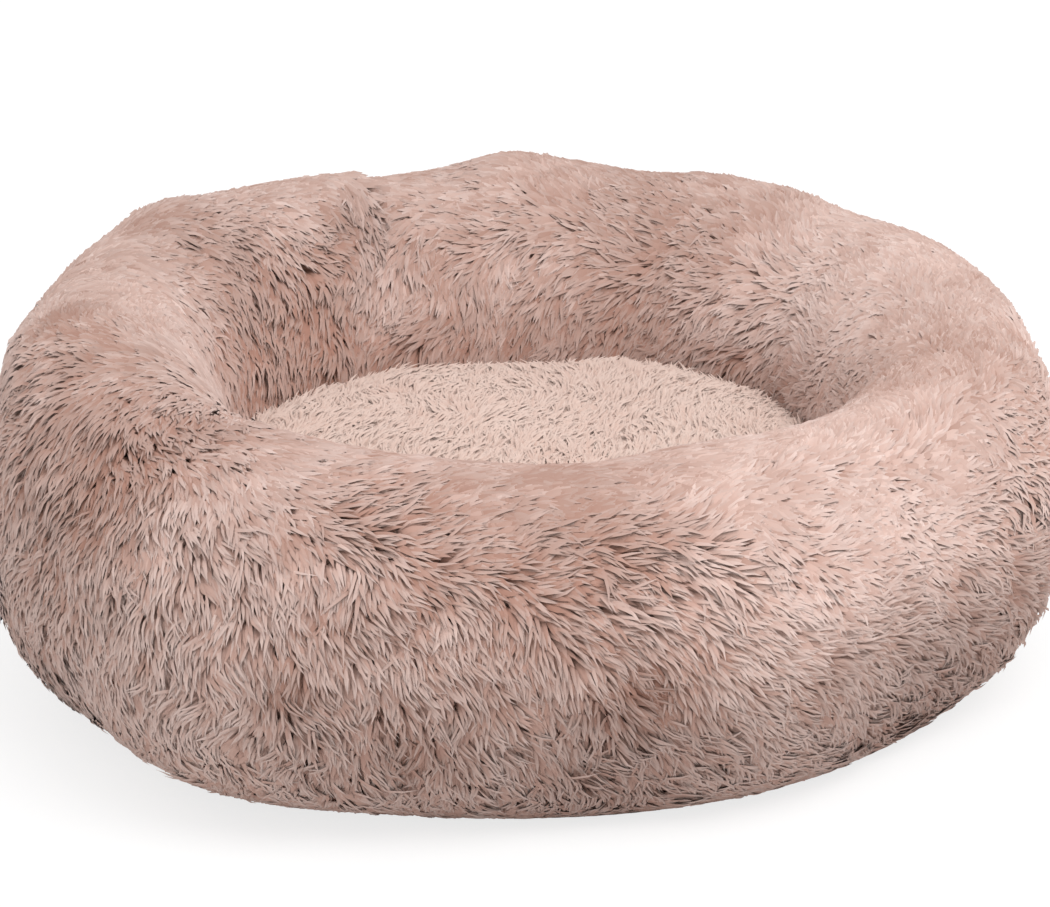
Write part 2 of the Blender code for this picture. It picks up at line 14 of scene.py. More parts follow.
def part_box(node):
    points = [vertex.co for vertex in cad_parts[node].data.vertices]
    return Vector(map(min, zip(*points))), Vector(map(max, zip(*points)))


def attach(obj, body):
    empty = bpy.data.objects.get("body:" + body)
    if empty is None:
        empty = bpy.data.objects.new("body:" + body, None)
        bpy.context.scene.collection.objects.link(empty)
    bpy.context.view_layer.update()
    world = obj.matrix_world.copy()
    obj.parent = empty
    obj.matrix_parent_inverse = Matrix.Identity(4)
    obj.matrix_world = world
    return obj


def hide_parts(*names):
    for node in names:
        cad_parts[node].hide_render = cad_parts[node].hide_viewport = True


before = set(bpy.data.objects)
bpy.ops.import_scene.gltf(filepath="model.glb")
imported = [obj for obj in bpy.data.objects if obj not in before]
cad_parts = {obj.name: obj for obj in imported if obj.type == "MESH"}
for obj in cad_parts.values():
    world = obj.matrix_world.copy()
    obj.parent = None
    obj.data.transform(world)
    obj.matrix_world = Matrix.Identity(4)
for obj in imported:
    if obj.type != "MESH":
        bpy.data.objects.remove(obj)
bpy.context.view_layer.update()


# Camera: in front of the bed, 20 degrees above it, and far enough off that the back
# of the rim looks nearly as wide as the front.
EYE_DISTANCE = 2.2
EYE_ELEVATION = radians(20.0)
EYE_HEIGHT_AIM = 0.090  # the height that the elevation is measured to
VIEW_AIM = 0.1107  # the height at the middle of the view
LENS_MM = 136.8
SENSOR_MM = 36.0

camera_data = bpy.data.cameras.new("camera")
camera_data.lens = LENS_MM
camera_data.sensor_width = SENSOR_MM
camera_data.clip_start = 0.05
camera = bpy.data.objects.new("camera", camera_data)
bpy.context.scene.collection.objects.link(camera)
camera.location = (
    0.0,
    -EYE_DISTANCE * cos(EYE_ELEVATION),
    EYE_HEIGHT_AIM + EYE_DISTANCE * sin(EYE_ELEVATION),
)
view_line = Vector((0.0, 0.0, VIEW_AIM)) - camera.location
camera.rotation_euler = view_line.to_track_quat("-Z", "Y").to_euler()
bpy.context.scene.camera = camera
bpy.context.scene.view_settings.view_transform = "Standard"


# Floor, sky and lamps: a plain pale studio. The floor is one sheet that keeps the bed's
# soft shadow. It can't be seen from below, and is open under the base, which so gets
# light there. The key lamp is large and soft, overhead, in front and a little right.
FLOOR_RADIUS = 6.0
FLOOR_OPENING = 0.228
FLOOR_SIDES = 96
FLOOR_COLOUR = (0.55, 0.53, 0.52)  # what the bed sees of it
FLOOR_SHADE_COLOUR = (0.27, 0.27, 0.27)  # how much of a shadow shows on it
FLOOR_GLOW = 0.76
SKY_LIGHT = 0.90
KEY_SIZE = 1.5
KEY_PLACE = (0.75, -0.95, 1.75)
KEY_WATTS = 19.0
WHITE = (1.0, 1.0, 1.0, 1.0)
BLACK = (0.0, 0.0, 0.0, 1.0)


def joined(tree, start, end):
    """Links one socket to another in a material's nodes."""
    tree.links.new(end, start)


def seen_rays(tree):
    """1 for the rays that show the backdrop: straight ones, mirrored and refracted."""
    rays = tree.nodes.new("ShaderNodeLightPath")
    total = rays.outputs["Is Camera Ray"]
    for kind in ("Is Glossy Ray", "Is Transmission Ray"):
        either = tree.nodes.new("ShaderNodeMath")
        either.operation = "MAXIMUM"
        joined(tree, total, either.inputs[0])
        joined(tree, rays.outputs[kind], either.inputs[1])
        total = either.outputs[0]
    return total


def floor_finish():
    """A matt floor that lights the bed as real floor does, and looks nearly white."""
    made = bpy.data.materials.new("studio_floor")
    made.use_nodes = True
    tree = made.node_tree
    tree.nodes.clear()
    lit = tree.nodes.new("ShaderNodeBsdfDiffuse")
    lit.inputs["Color"].default_value = (*FLOOR_COLOUR, 1.0)
    shaded = tree.nodes.new("ShaderNodeBsdfDiffuse")
    shaded.inputs["Color"].default_value = (*FLOOR_SHADE_COLOUR, 1.0)
    glow = tree.nodes.new("ShaderNodeEmission")
    glow.inputs["Strength"].default_value = FLOOR_GLOW
    shown = tree.nodes.new("ShaderNodeAddShader")
    joined(tree, shaded.outputs[0], shown.inputs[0])
    joined(tree, glow.outputs[0], shown.inputs[1])
    by_ray = tree.nodes.new("ShaderNodeMixShader")
    joined(tree, seen_rays(tree), by_ray.inputs[0])
    joined(tree, lit.outputs[0], by_ray.inputs[1])
    joined(tree, shown.outputs[0], by_ray.inputs[2])
    facing = tree.nodes.new("ShaderNodeNewGeometry")
    clear = tree.nodes.new("ShaderNodeBsdfTransparent")
    sheet = tree.nodes.new("ShaderNodeMixShader")
    joined(tree, facing.outputs["Backfacing"], sheet.inputs[0])
    joined(tree, by_ray.outputs[0], sheet.inputs[1])
    joined(tree, clear.outputs[0], sheet.inputs[2])
    out = tree.nodes.new("ShaderNodeOutputMaterial")
    joined(tree, sheet.outputs[0], out.inputs["Surface"])
    return made


floor_turns = [2 * pi * i / FLOOR_SIDES for i in range(FLOOR_SIDES)]
floor_mesh = bpy.data.meshes.new("studio_floor")
floor_mesh.from_pydata(
    [(r * cos(t), r * sin(t), 0.0) for t in floor_turns for r in (FLOOR_OPENING, FLOOR_RADIUS)],
    [],
    [
        (2 * i, 2 * i + 1, 2 * ((i + 1) % FLOOR_SIDES) + 1, 2 * ((i + 1) % FLOOR_SIDES))
        for i in range(FLOOR_SIDES)
    ],
)
floor_mesh.materials.append(floor_finish())
floor = bpy.data.objects.new("studio_floor", floor_mesh)
bpy.context.scene.collection.objects.link(floor)

sky = bpy.data.worlds.new("studio_sky")
sky.use_nodes = True
bpy.context.scene.world = sky
sky_tree = sky.node_tree
sky_tree.nodes.clear()
sky_lamp = sky_tree.nodes.new("ShaderNodeBackground")
sky_lamp.inputs["Color"].default_value = WHITE
sky_lamp.inputs["Strength"].default_value = SKY_LIGHT
sky_shown = sky_tree.nodes.new("ShaderNodeBackground")
sky_shown.inputs["Color"].default_value = WHITE
sky_mix = sky_tree.nodes.new("ShaderNodeMixShader")
joined(sky_tree, seen_rays(sky_tree), sky_mix.inputs[0])
joined(sky_tree, sky_lamp.outputs[0], sky_mix.inputs[1])
joined(sky_tree, sky_shown.outputs[0], sky_mix.inputs[2])
sky_out = sky_tree.nodes.new("ShaderNodeOutputWorld")
joined(sky_tree, sky_mix.outputs[0], sky_out.inputs["Surface"])

key_data = bpy.data.lights.new("key_lamp", "AREA")
key_data.shape = "DISK"
key_data.size = KEY_SIZE
key_data.energy = KEY_WATTS
key = bpy.data.objects.new("key_lamp", key_data)
bpy.context.scene.collection.objects.link(key)
key.location = KEY_PLACE
key.rotation_euler = (-Vector(KEY_PLACE)).to_track_quat("-Z", "Y").to_euler()


# Rim backing: the knitted cloth that the long pile is rooted in, in four panels sewn
# end to end round the ring. It is pulled tight by the stuffing, and lies a pile's
# depth under the surface that the hand meets.
RIM_HEIGHT = 0.205
RIM_WIDTH = 0.120
BED_DIAMETER = 0.581
CREST_RADIUS = (BED_DIAMETER - RIM_WIDTH) / 2
SEAT = 0.0028  # the underside of the rim's section
FRONT_DIP_SHARE = 0.10
RIM_LEAN_SHARE = 0.05
FOOT_SHARE = 0.35
SEAM_FADE = 8
ROUNDNESS = 2.1  # how square the rim's section is; 2 is a circle
FOOT_ROUNDNESS = 5.0  # the same, low on the inside
# Lumps and dents: angle round the bed, half width in degrees, then shares of the
# rim's width outward and inward, and of its height upward
LUMP_SHARES = (
    (137.0, 20.0, 0.120, 0.000, 0.030),
    (115.0, 8.0, -0.050, -0.200, -0.030),
    (100.0, 10.0, -0.010, 0.050, -0.005),
    (87.0, 9.0, 0.030, 0.020, 0.022),
    (70.0, 8.0, 0.000, -0.160, -0.008),
    (50.0, 9.0, -0.010, 0.040, -0.005),
    (38.0, 8.0, -0.010, -0.120, -0.005),
    (10.0, 16.0, 0.020, 0.100, 0.010),
    (343.0, 12.0, 0.060, 0.020, 0.000),
    (319.0, 14.0, -0.150, 0.020, -0.010),
    (292.0, 12.0, -0.010, 0.040, 0.012),
    (278.0, 10.0, -0.120, -0.040, -0.010),
    (236.0, 16.0, 0.260, 0.020, 0.010),
    (207.0, 14.0, 0.060, 0.060, 0.020),
    (190.0, 18.0, 0.000, 0.160, 0.040),
)
SEAM_TURN = radians(-78.0)
INNER_TURN = radians(262.0)
PILE_DEPTH = 0.0100
BACKING_THICKNESS = 0.0016
BACKING_COLOUR = (0.560, 0.360, 0.290)
PANEL_SIDES = ("rear", "left", "front", "right")
FIRST_SEAM = 30.0
PANEL_STATIONS = 72
PANEL_STEPS = 72
OUTLINE_STATIONS = 48  # the ring is centred on its outline, measured this finely
OUTLINE_STEPS = 16
# Where the rim is stuffed fuller than the solids: angle, turn, spread and height
FULLER = (
    (150, 88, 0.024, 0.0080), (118, 90, 0.022, 0.0080), (91, 92, 0.016, 0.0060),
    (163, 84, 0.026, 0.0040), (243, -62, 0.045, 0.0260), (22, 88, 0.040, 0.0030),
    (60, 92, 0.022, 0.0050), (48, 92, 0.018, 0.0050), (205, -40, 0.050, 0.0060),
)
BACKING_FOLLOWS = 0.7  # how much of that the backing does, and the pile the rest
# The pile lies calm on the crest, and deeper and more ruffled down the walls
CREST_TURN = radians(80.0)
CREST_HALF_WIDTH = radians(48.0)
INNER_HALF_WIDTH = radians(115.0)
CREST_PILE_SHARE = 0.50  # how deep the pile is there, of its depth on the walls
# Where else it lies calm: angle, turn and spread
CALMED = (
    (295, 62, 0.040), (306, 45, 0.040), (320, 42, 0.040), (328, 60, 0.040), (150, 112, 0.040),
)
# Where it is tousled although it lies high: angle, turn and spread
TOUSLED = ((223, 62, 0.045), (203, 60, 0.035), (138, 158, 0.042), (253, 64, 0.022))
TOUSLED_SHARE = 0.60  # of the calm is lost there


def signed_power(value, power):
    """Raises a number to a power and keeps its sign."""
    return np.sign(value) * np.abs(value) ** power


def section(angle, turn, inset, foot_roundness):
    """Points of the rim before it is centred: turn is 0 outside, 90 degrees at the
    crest and 180 inside, and inset is how deep under the surface they lie."""
    outward, inward, upward = (np.zeros(np.shape(angle)) for _ in range(3))
    for centre, half_width, out_share, in_share, up_share in LUMP_SHARES:
        away = (np.degrees(angle) - centre + 180.0) % 360.0 - 180.0
        swell = np.exp(-((away / half_width) ** 2))
        outward += out_share * swell
        inward += in_share * swell
        upward += up_share * swell
    across = np.cos(turn)
    is_foot = (np.sin(turn) < 0) & (across < 0)
    square = np.where(is_foot, foot_roundness, ROUNDNESS)
    rise = signed_power(np.sin(turn), 2.0 / square)
    above = np.maximum(rise, 0.0)
    outer_share = outward * (1.0 - np.minimum(rise, 0.0) ** SEAM_FADE)
    inner_share = inward * (FOOT_SHARE + (1.0 - FOOT_SHARE) * above)
    reach = RIM_WIDTH * (0.5 + np.where(across > 0, outer_share, inner_share)) - inset
    dip = FRONT_DIP_SHARE * (np.sin(angle) - 1.0) / 2
    top = RIM_HEIGHT * (1.0 + upward + dip) - inset
    lean = RIM_LEAN_SHARE * RIM_WIDTH * above**2
    radius = CREST_RADIUS + lean + reach * signed_power(across, 2.0 / square)
    heights = SEAT + top / 2 * (1.0 + rise)
    return np.stack([radius * np.cos(angle), radius * np.sin(angle), heights], axis=-1)


outline_angles = np.linspace(0.0, 2 * pi, OUTLINE_STATIONS, endpoint=False)
outline_turns = np.linspace(SEAM_TURN, INNER_TURN, OUTLINE_STEPS + 1)
outline = section(*np.meshgrid(outline_angles, outline_turns), 0.0, FOOT_ROUNDNESS)[..., :2]
RING_MIDDLE = (outline.min(axis=(0, 1)) + outline.max(axis=(0, 1))) / 2


def rim_surface(angle, turn, inset=0.0, foot_roundness=FOOT_ROUNDNESS):
    """Points of the stuffed rim, centred on the bed."""
    points = section(angle, turn, inset, foot_roundness)
    points[..., :2] -= RING_MIDDLE
    return points


def laid(angle, turn, depth=0.0):
    """Points of the laid pile, on the surface that the hand meets or under it."""
    return rim_surface(angle, turn, depth, ROUNDNESS)


def felt(places, at_angle, at_turn, spread):
    """How much each place feels what lies at an angle and a turn of the rim: 1 to 0."""
    spot = laid(np.array(radians(at_angle)), np.array(radians(at_turn)))
    return np.exp(-((places - spot) ** 2).sum(axis=-1) / (2 * spread**2))


def fullness(places):
    """How much fuller the rim is stuffed near each place."""
    return sum(height * felt(places, *where) for *where, height in FULLER)


def calmness(places, turn):
    """How calm the pile lies at each place: 1 on the crest, 0 low on the walls."""
    half_width = np.where(turn < CREST_TURN, CREST_HALF_WIDTH, INNER_HALF_WIDTH)
    calm = np.exp(-(((turn - CREST_TURN) / half_width) ** 2))
    calm = np.maximum.reduce([calm] + [felt(places, *where) for where in CALMED])
    tousled = np.maximum.reduce([felt(places, *where) for where in TOUSLED])
    return calm * (1.0 - TOUSLED_SHARE * tousled)


def ride_on_bed(name, mesh, finish):
    """Makes a mesh a piece of the bed, with its finish."""
    mesh.materials.append(finish)
    piece = bpy.data.objects.new(name, mesh)
    bpy.context.scene.collection.objects.link(piece)
    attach(piece, "bed")
    return piece


def sheet_solid(name, outer, inner):
    """A closed cloth between two grids of points, with its four edges turned in."""
    rows, columns = outer.shape[:2]
    count = rows * columns
    grid = np.arange(count).reshape(rows, columns)
    corners = (grid[:-1, :-1], grid[1:, :-1], grid[1:, 1:], grid[:-1, 1:])
    top = np.stack(corners, axis=-1).reshape(-1, 4)
    round_it = np.concatenate([grid[0, :], grid[1:, -1], grid[-1, -2::-1], grid[-2:0:-1, 0]])
    after = np.roll(round_it, -1)
    edge = np.stack([round_it, round_it + count, after + count, after], axis=-1)
    faces = np.concatenate([top, top[:, ::-1] + count, edge[:, ::-1]])
    mesh = bpy.data.meshes.new(name)
    points = np.concatenate([outer.reshape(-1, 3), inner.reshape(-1, 3)])
    mesh.from_pydata(points.tolist(), [], faces.tolist())
    mesh.shade_smooth()
    return mesh


def shader_of(name, roughness):
    """A material's shader and nodes."""
    made = bpy.data.materials.new(name)
    made.use_nodes = True
    shader = made.node_tree.nodes["Principled BSDF"]
    shader.inputs["Roughness"].default_value = roughness
    return made, made.node_tree, shader


def place_node(tree, stretch=(1.0, 1.0, 1.0), turn=0.0):
    """Where a point lies on the piece, in metres, stretched along each axis and turned
    about the upright one."""
    place = tree.nodes.new("ShaderNodeTexCoord")
    mapping = tree.nodes.new("ShaderNodeMapping")
    mapping.inputs["Rotation"].default_value = (0.0, 0.0, turn)
    mapping.inputs["Scale"].default_value = stretch
    joined(tree, place.outputs["Object"], mapping.inputs["Vector"])
    return mapping.outputs["Vector"]


def pattern(tree, kind, scale, stretch=(1.0, 1.0, 1.0), **settings):
    """How high a noise, cell or wave pattern of this scale stands at each point."""
    made = tree.nodes.new("ShaderNodeTex" + kind)
    made.inputs["Scale"].default_value = scale
    for setting, value in settings.items():
        made.inputs[setting].default_value = value
    joined(tree, place_node(tree, stretch), made.inputs["Vector"])
    return made.outputs["Distance" if kind == "Voronoi" else "Fac"]


def colour_ramp(tree, value, stops):
    """A run of colours over a value, given as places and colours."""
    ramp = tree.nodes.new("ShaderNodeValToRGB")
    points = ramp.color_ramp.elements
    while len(points) < len(stops):
        points.new(0.5)
    for point, (position, colour) in zip(points, stops):
        point.position = position
        point.color = (*colour, 1.0)
    joined(tree, value, ramp.inputs["Fac"])
    return ramp.outputs["Color"]


def raised(tree, shader, height, depth):
    """Gives a shader fine relief of a real depth."""
    bump = tree.nodes.new("ShaderNodeBump")
    bump.inputs["Distance"].default_value = depth
    joined(tree, height, bump.inputs["Height"])
    joined(tree, bump.outputs["Normal"], shader.inputs["Normal"])


def tint(colour, share):
    """A colour made lighter or darker."""
    return tuple(min(1.0, part * share) for part in colour)


def coloured(tree, shader, value, stops):
    """Gives a shader its run of colours over a value."""
    joined(tree, colour_ramp(tree, value, stops), shader.inputs["Base Color"])


def grained_finish(name, roughness, kind, scale, stops, relief, **settings):
    """A finish with one pattern, which gives it its colours and its fine relief."""
    made, tree, shader = shader_of(name, roughness)
    grain = pattern(tree, kind, scale, **settings)
    coloured(tree, shader, grain, stops)
    raised(tree, shader, grain, relief)
    return made


# the loops of the knit, dark between the roots
backing = grained_finish(
    "knitted_backing",
    roughness=0.95,
    kind="Voronoi",
    scale=900.0,
    stops=((0.0, tint(BACKING_COLOUR, 1.25)), (0.6, tint(BACKING_COLOUR, 0.7))),
    relief=0.0003,
)
for index, side in enumerate(PANEL_SIDES):
    start = radians(FIRST_SEAM) + index * pi / 2
    angles = np.linspace(start, start + pi / 2, PANEL_STATIONS + 1)
    turns = np.linspace(SEAM_TURN, INNER_TURN, PANEL_STEPS + 1)
    grid = np.meshgrid(angles, turns, indexing="ij")
    places = rim_surface(*grid)
    thinner = 1.0 - (1.0 - CREST_PILE_SHARE) * calmness(places, grid[1])
    sunk = PILE_DEPTH * thinner - BACKING_FOLLOWS * fullness(places)
    skins = [rim_surface(*grid, sunk + extra) for extra in (0.0, BACKING_THICKNESS)]
    name = "rim_fur_" + side + "_backing"
    piece = ride_on_bed(name, sheet_solid(name, *skins), backing)
    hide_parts("rim_fur_" + side)


# Rim pile: shaggy polyester fur, 30 mm long, tufted into the backing and set in
# pointed locks. It was combed round the ring and hangs down both of its walls, light
# at the tips and darker at the roots: partly the fur's own colour, and partly painted
# shade between the locks.
LOCKS_ON_RIM = 150000
LOCKS_TO_A_PIECE = 9000  # keeps each piece's mesh a size that any tool opens
LOCK_REACH = 0.0185  # how far along the surface a lock lies
REACH_SPREAD = (0.78, 1.18)  # the shortest and the longest, as shares
LOCK_WIDTH = 0.0022
WIDTH_SPREAD = (0.70, 1.25)
WAY_POWER = 1.25  # a lock's points lie closer together near its root
LOCK_THICKNESS_SHARE = 0.34  # of half its width
CREST_THICKNESS_SHARE = 0.60  # the same where the pile lies calm
LOCK_RINGS = 4
LOCK_TAPER = (0.62, 1.10, -1.45)  # its width from root to tip, as the terms of a curve
RIDGE_SHARE = 1.6  # how high its ridge stands, of its thickness
RIM_CELLS = (720, 240)  # the locks are shared out over these, round and across
LOWEST_TURN = radians(-79.0)
LOW_SPAN = radians(60.0)  # how far under the widest turn counts as fully low
HANG_SPAN = radians(45.0)  # how far above the lowest turn the pile is free to hang
LEAST_HANG = 0.12
PILE_TOP_TURN = radians(205.0)  # the pile ends here, under the pad
CLUMP_LOCKS = 3  # how many locks draw together
CLUMP_PULL = (0.42, 0.20)  # how far, as a share, and how much that varies
MOST_PULL = 0.9
TUFT_LOCKS = 16  # the same for the larger tufts of the walls
TUFT_PULL = 0.22
PULL_POWER = 1.4  # how late the locks draw together, from root to tip
ROOT_DEPTH = 0.0006  # how far a lock reaches into the backing
STRAY_SHARE = 0.07  # of the locks stand out from the rest
STRAY_HEIGHT = 0.0030
STRAY_SPREAD = (0.2, 1.0)
TIP_DEPTH = (0.0002, 0.0007)  # of a lock's tip under the surface, and how much it varies
# How far the tips drift up and down, and over what size
TIP_DRIFTS = ((0.0006, 0.014), (0.0008, 0.040))
LEAST_HEIGHT = 0.0012  # of any fibre above the floor
CREST_RELIEF = 0.20  # how ruffled the pile is where it lies calm
WALL_RELIEF = 1.42
LOW_RELIEF = 0.55  # how much shaggier it is still, near the floor
LIFT_POWER = 1.9  # how late a lock rises from its root to its tip
CREST_LIFT_POWER = 3.6
# How light the locks are, of 1, how far that drifts, and over what size
RIM_SHADE = 0.67
SHADE_DRIFTS = ((0.05, 0.05), (0.07, 0.014))
FINE_SHADE_DRIFT = (0.05, 0.05, 0.006)  # on the walls, more on the crest, and the size
SHADE_SCATTER = 0.08
# how much darker the locks are made where the pile lies calm; down the inner walls this is painted
# shade
CREST_PAINTED_SHADE = -0.14
INNER_FOOT_PAINTED_SHADE = -0.30  # painted shade, darker where the pile hangs down against the sleeping pad
INNER_FOOT_TURN = radians(150.0)
INNER_FOOT_SPAN = radians(30.0)
CREST_WIDTH_SHARE = 1.40
UNDER_SHARE = 0.46  # of the locks are wider and darker, and fill in under the rest
UNDER_DEPTH = 0.0019
UNDER_SPREAD = (0.5, 1.3)
UNDER_WIDTH_SHARE = 1.65
UNDER_TIP_SHARE = 0.45  # how far up the colours from root to tip these go
CREST_UNDER_TIP_SHARE = 0.75
CREST_ROOT_SHARE = 0.45  # how far up the colours a lock starts, where its root is hidden
# How the pile was combed, read round the bed: angle, turn and heading in degrees.
# A heading of 0 runs round the ring anticlockwise, 90 outward and -90 inward.
COMBED = (
    (203, 70, 115), (213, 56, 80), (212, 18, 115), (226, 42, 80), (228, 78, 22),
    (229, 12, 82), (238, 32, 72), (244, 42, 66), (250, 38, 62), (241, 6, 88),
    (249, 0, 88), (233, -10, 87), (255, 20, 78), (258, 40, 34), (262, 14, 68),
    (270, 12, 66), (278, 10, 65), (284, 10, 60), (266, -12, 76), (280, -16, 70),
    (290, 14, 50), (298, 16, 45), (307, -2, 44), (294, -12, 53), (314, 4, 38),
    (328, -8, 40), (330, 12, 36), (250, 62, -16), (259, 56, -10), (270, 52, -6),
    (280, 44, 4), (290, 40, 14), (301, 34, 22), (314, 30, 22), (262, 78, -28),
    (279, 74, -22), (294, 68, -18), (311, 66, -20), (242, 90, -30), (327, 78, -35),
    (301, 50, -8),
    (344, 80, -20), (1, 98, -5), (334, 50, 60), (336, 24, 42), (22, 108, 5),
    (243, -40, 100), (257, -42, 92), (273, -44, 77), (289, -44, 60), (307, -36, 42),
    (124, 116, -172), (105, 106, 18), (87, 112, 38), (74, 122, 32), (61, 114, 26),
    (46, 112, 28), (28, 122, 8), (116, 148, -52), (104, 146, -50), (91, 148, -50),
    (110, 170, -78), (91, 170, -86), (75, 164, -72), (59, 154, -55), (45, 162, -60),
    (30, 150, -22), (6, 132, -36), (340, 128, -36), (143, 146, -58), (144, 124, -66),
    (147, 106, 170), (139, 172, -88), (161, 120, -160), (181, 104, -150), (194, 84, 150),
    (169, 142, -70), (152, 88, -154), (206, 125, 118), (210, 155, 112), (224, 120, 60),
    (226, 150, 55),
    (20, 20, 75), (45, 10, 85), (70, 25, 80), (95, 5, 85), (120, 20, 80), (150, 15, 75),
    (180, 20, 90), (30, -35, 80), (90, -40, 92), (150, -40, 85), (60, 70, 50),
    (100, 70, 45), (140, 60, 110), (15, 60, 35),
)
COMB_SPREAD = 0.026  # how far one of these is felt
COMB_LEAN = (0.020, 0.012)  # where none is near: round the ring, and down its walls
# How far the heading drifts, in radians, and over what size
HEADING_DRIFTS = ((0.26, 0.055), (0.14, 0.018))
HEADING_SCATTER = 0.14
RUFFLED_SCATTER = 0.70  # more where the readings disagree
RUFFLED_POWER = 1.5
LOW_SCATTER = 0.20  # more near the floor
BEND_SCATTER = 0.20  # how far a lock bends along its way, in radians
LOW_BEND = 1.5  # how much more it bends near the floor
NUDGE = 1e-3  # radians: a step that the surface is measured by
# Where the pile is darker or lighter: its own patches and streaks, painted shade in its
# folds and at the foot of the inner walls, and painted light low on the outer walls.
# Angle, turn, spread in metres, and by how much
PATCHES_AND_PAINTED_LIGHT = (
    (221, 73, 0.050, -0.50), (223, 50, 0.022, -0.40), (200, 90, 0.040, -0.28),
    (191, 80, 0.010, -0.50), (201, 51, 0.012, -0.35), (206, 84, 0.007, -0.50),
    (212, 64, 0.007, -0.45), (220, 60, 0.009, -0.45), (228, 88, 0.008, -0.35),
    (254, 66, 0.038, -0.40), (273, 50, 0.028, -0.40), (276, 62, 0.030, -0.22),
    (300, 55, 0.050, 0.02), (330, 60, 0.030, 0.04), (338, 80, 0.050, -0.34),
    (205, 25, 0.050, -0.08), (262, 8, 0.050, -0.24), (278, 4, 0.050, -0.24),
    (250, -10, 0.040, -0.10), (285, -10, 0.030, -0.12), (225, -30, 0.050, 0.26),
    (242, -16, 0.035, 0.27), (262, -35, 0.060, 0.38), (300, -35, 0.050, 0.44),
    (248, 1, 0.010, -0.50), (259, -20, 0.013, -0.60), (282, -1, 0.012, -0.55),
    (302, -9, 0.014, -0.50), (99, 158, 0.060, -0.30), (107, 118, 0.040, -0.06),
    (150, 85, 0.040, -0.04), (37, 155, 0.045, 0.08), (63, 130, 0.045, -0.48),
    (123, 120, 0.014, -0.50), (128, 146, 0.018, -0.50), (129, 172, 0.018, -0.35),
    (131, 158, 0.030, -0.20), (147, 155, 0.038, -0.44), (168, 150, 0.022, -0.14),
    (114, 178, 0.012, -0.40), (103, 178, 0.010, -0.40), (70, 166, 0.015, -0.50),
    (151, 119, 0.035, -0.34), (40, 168, 0.016, -0.50), (345, 148, 0.035, -0.36),
)
# Colours from root to tip, of a dark lock and of a light one. The darker roots are
# partly the fur's own colour and partly painted shade, seen in the gaps between locks
DARK_LOCK = (
    (0.00, (0.380, 0.170, 0.118)),
    (0.45, (0.450, 0.247, 0.190)),
    (0.75, (0.508, 0.334, 0.281)),
    (1.00, (0.543, 0.382, 0.333)),
)
LIGHT_LOCK = (
    (0.00, (0.670, 0.410, 0.335)),
    (0.45, (0.795, 0.560, 0.485)),
    (0.75, (0.865, 0.665, 0.600)),
    (1.00, (0.895, 0.725, 0.672)),
)
STRAND_MAP = "Strand"
BAKED_MAP = "OFBake"
SHADE_HALF_WIDTH = 0.006  # of a lock's strip on its map
ROOT_RISE = 0.01
FIBRE_SOFTNESS = 0.86  # how far a lock's shading follows the surface that it lies on
FIBRE_ROUGHNESS = 0.72
FIBRE_SPECULAR = 0.10


def drift(places, size, seed, waves=14):
    """A smooth random value of about 1 either way at each place, which swells and
    falls over about this size."""
    dice = np.random.default_rng(seed)
    total = np.zeros(places.shape[:-1])
    for _ in range(waves):
        way = dice.normal(size=3)
        way *= 2 * pi / size * dice.uniform(0.6, 1.5) / np.linalg.norm(way)
        total += np.sin(places @ way + dice.uniform(0.0, 2 * pi))
    return total * sqrt(2.0 / waves)


def drifted(places, seed, shares):
    """Drifts added up, each given as how far it goes and over what size."""
    return sum(
        share * drift(places, size, seed + number) for number, (share, size) in enumerate(shares)
    )


def unit(ways):
    """Vectors at a length of one."""
    return ways / np.linalg.norm(ways, axis=-1, keepdims=True)


def ring_core(angle):
    """The middle of the rim's section at each angle."""
    core = CREST_RADIUS * np.stack([np.cos(angle), np.sin(angle)], axis=-1) - RING_MIDDLE
    return np.concatenate([core, np.full((len(angle), 1), RIM_HEIGHT / 2)], axis=-1)


def scattered(weights, count, dice):
    """Picks cells of a grid in proportion to their weights, spread evenly, and a
    place inside each: the row and the column as numbers with a fraction."""
    total = np.cumsum(weights.ravel())
    marks = (np.arange(count) + dice.uniform(size=count)) / count * total[-1]
    cell = np.searchsorted(total, marks)
    row, column = np.divmod(np.minimum(cell, weights.size - 1), weights.shape[1])
    return row + dice.uniform(size=count), column + dice.uniform(size=count)


def draw_together(paths, leaders, pull):
    """Draws each lock's outer part towards the nearest leading lock's, by its own
    pull. paths holds each lock's points from root to tip."""
    tree = KDTree(len(leaders))
    for number, leader in enumerate(leaders):
        tree.insert(paths[leader, 1], number)
    tree.balance()
    nearest = np.array([leaders[tree.find(place)[1]] for place in paths[:, 1]])
    steps = np.linspace(0.0, 1.0, paths.shape[1])
    share = pull[:, None] * steps[None, :] ** PULL_POWER
    return paths + (paths[nearest] - paths) * share[..., None]


def lock_faces(rings):
    """The faces of one lock, which has three sides and comes to a point."""
    faces = [(0, 1, 2)]
    for ring in range(rings - 1):
        for side in range(3):
            a, b = ring * 3 + side, ring * 3 + (side + 1) % 3
            faces.append((b, a, a + 3, b + 3))
    last = (rings - 1) * 3
    for side in range(3):
        faces.append((last + (side + 1) % 3, last + side, rings * 3))
    return faces


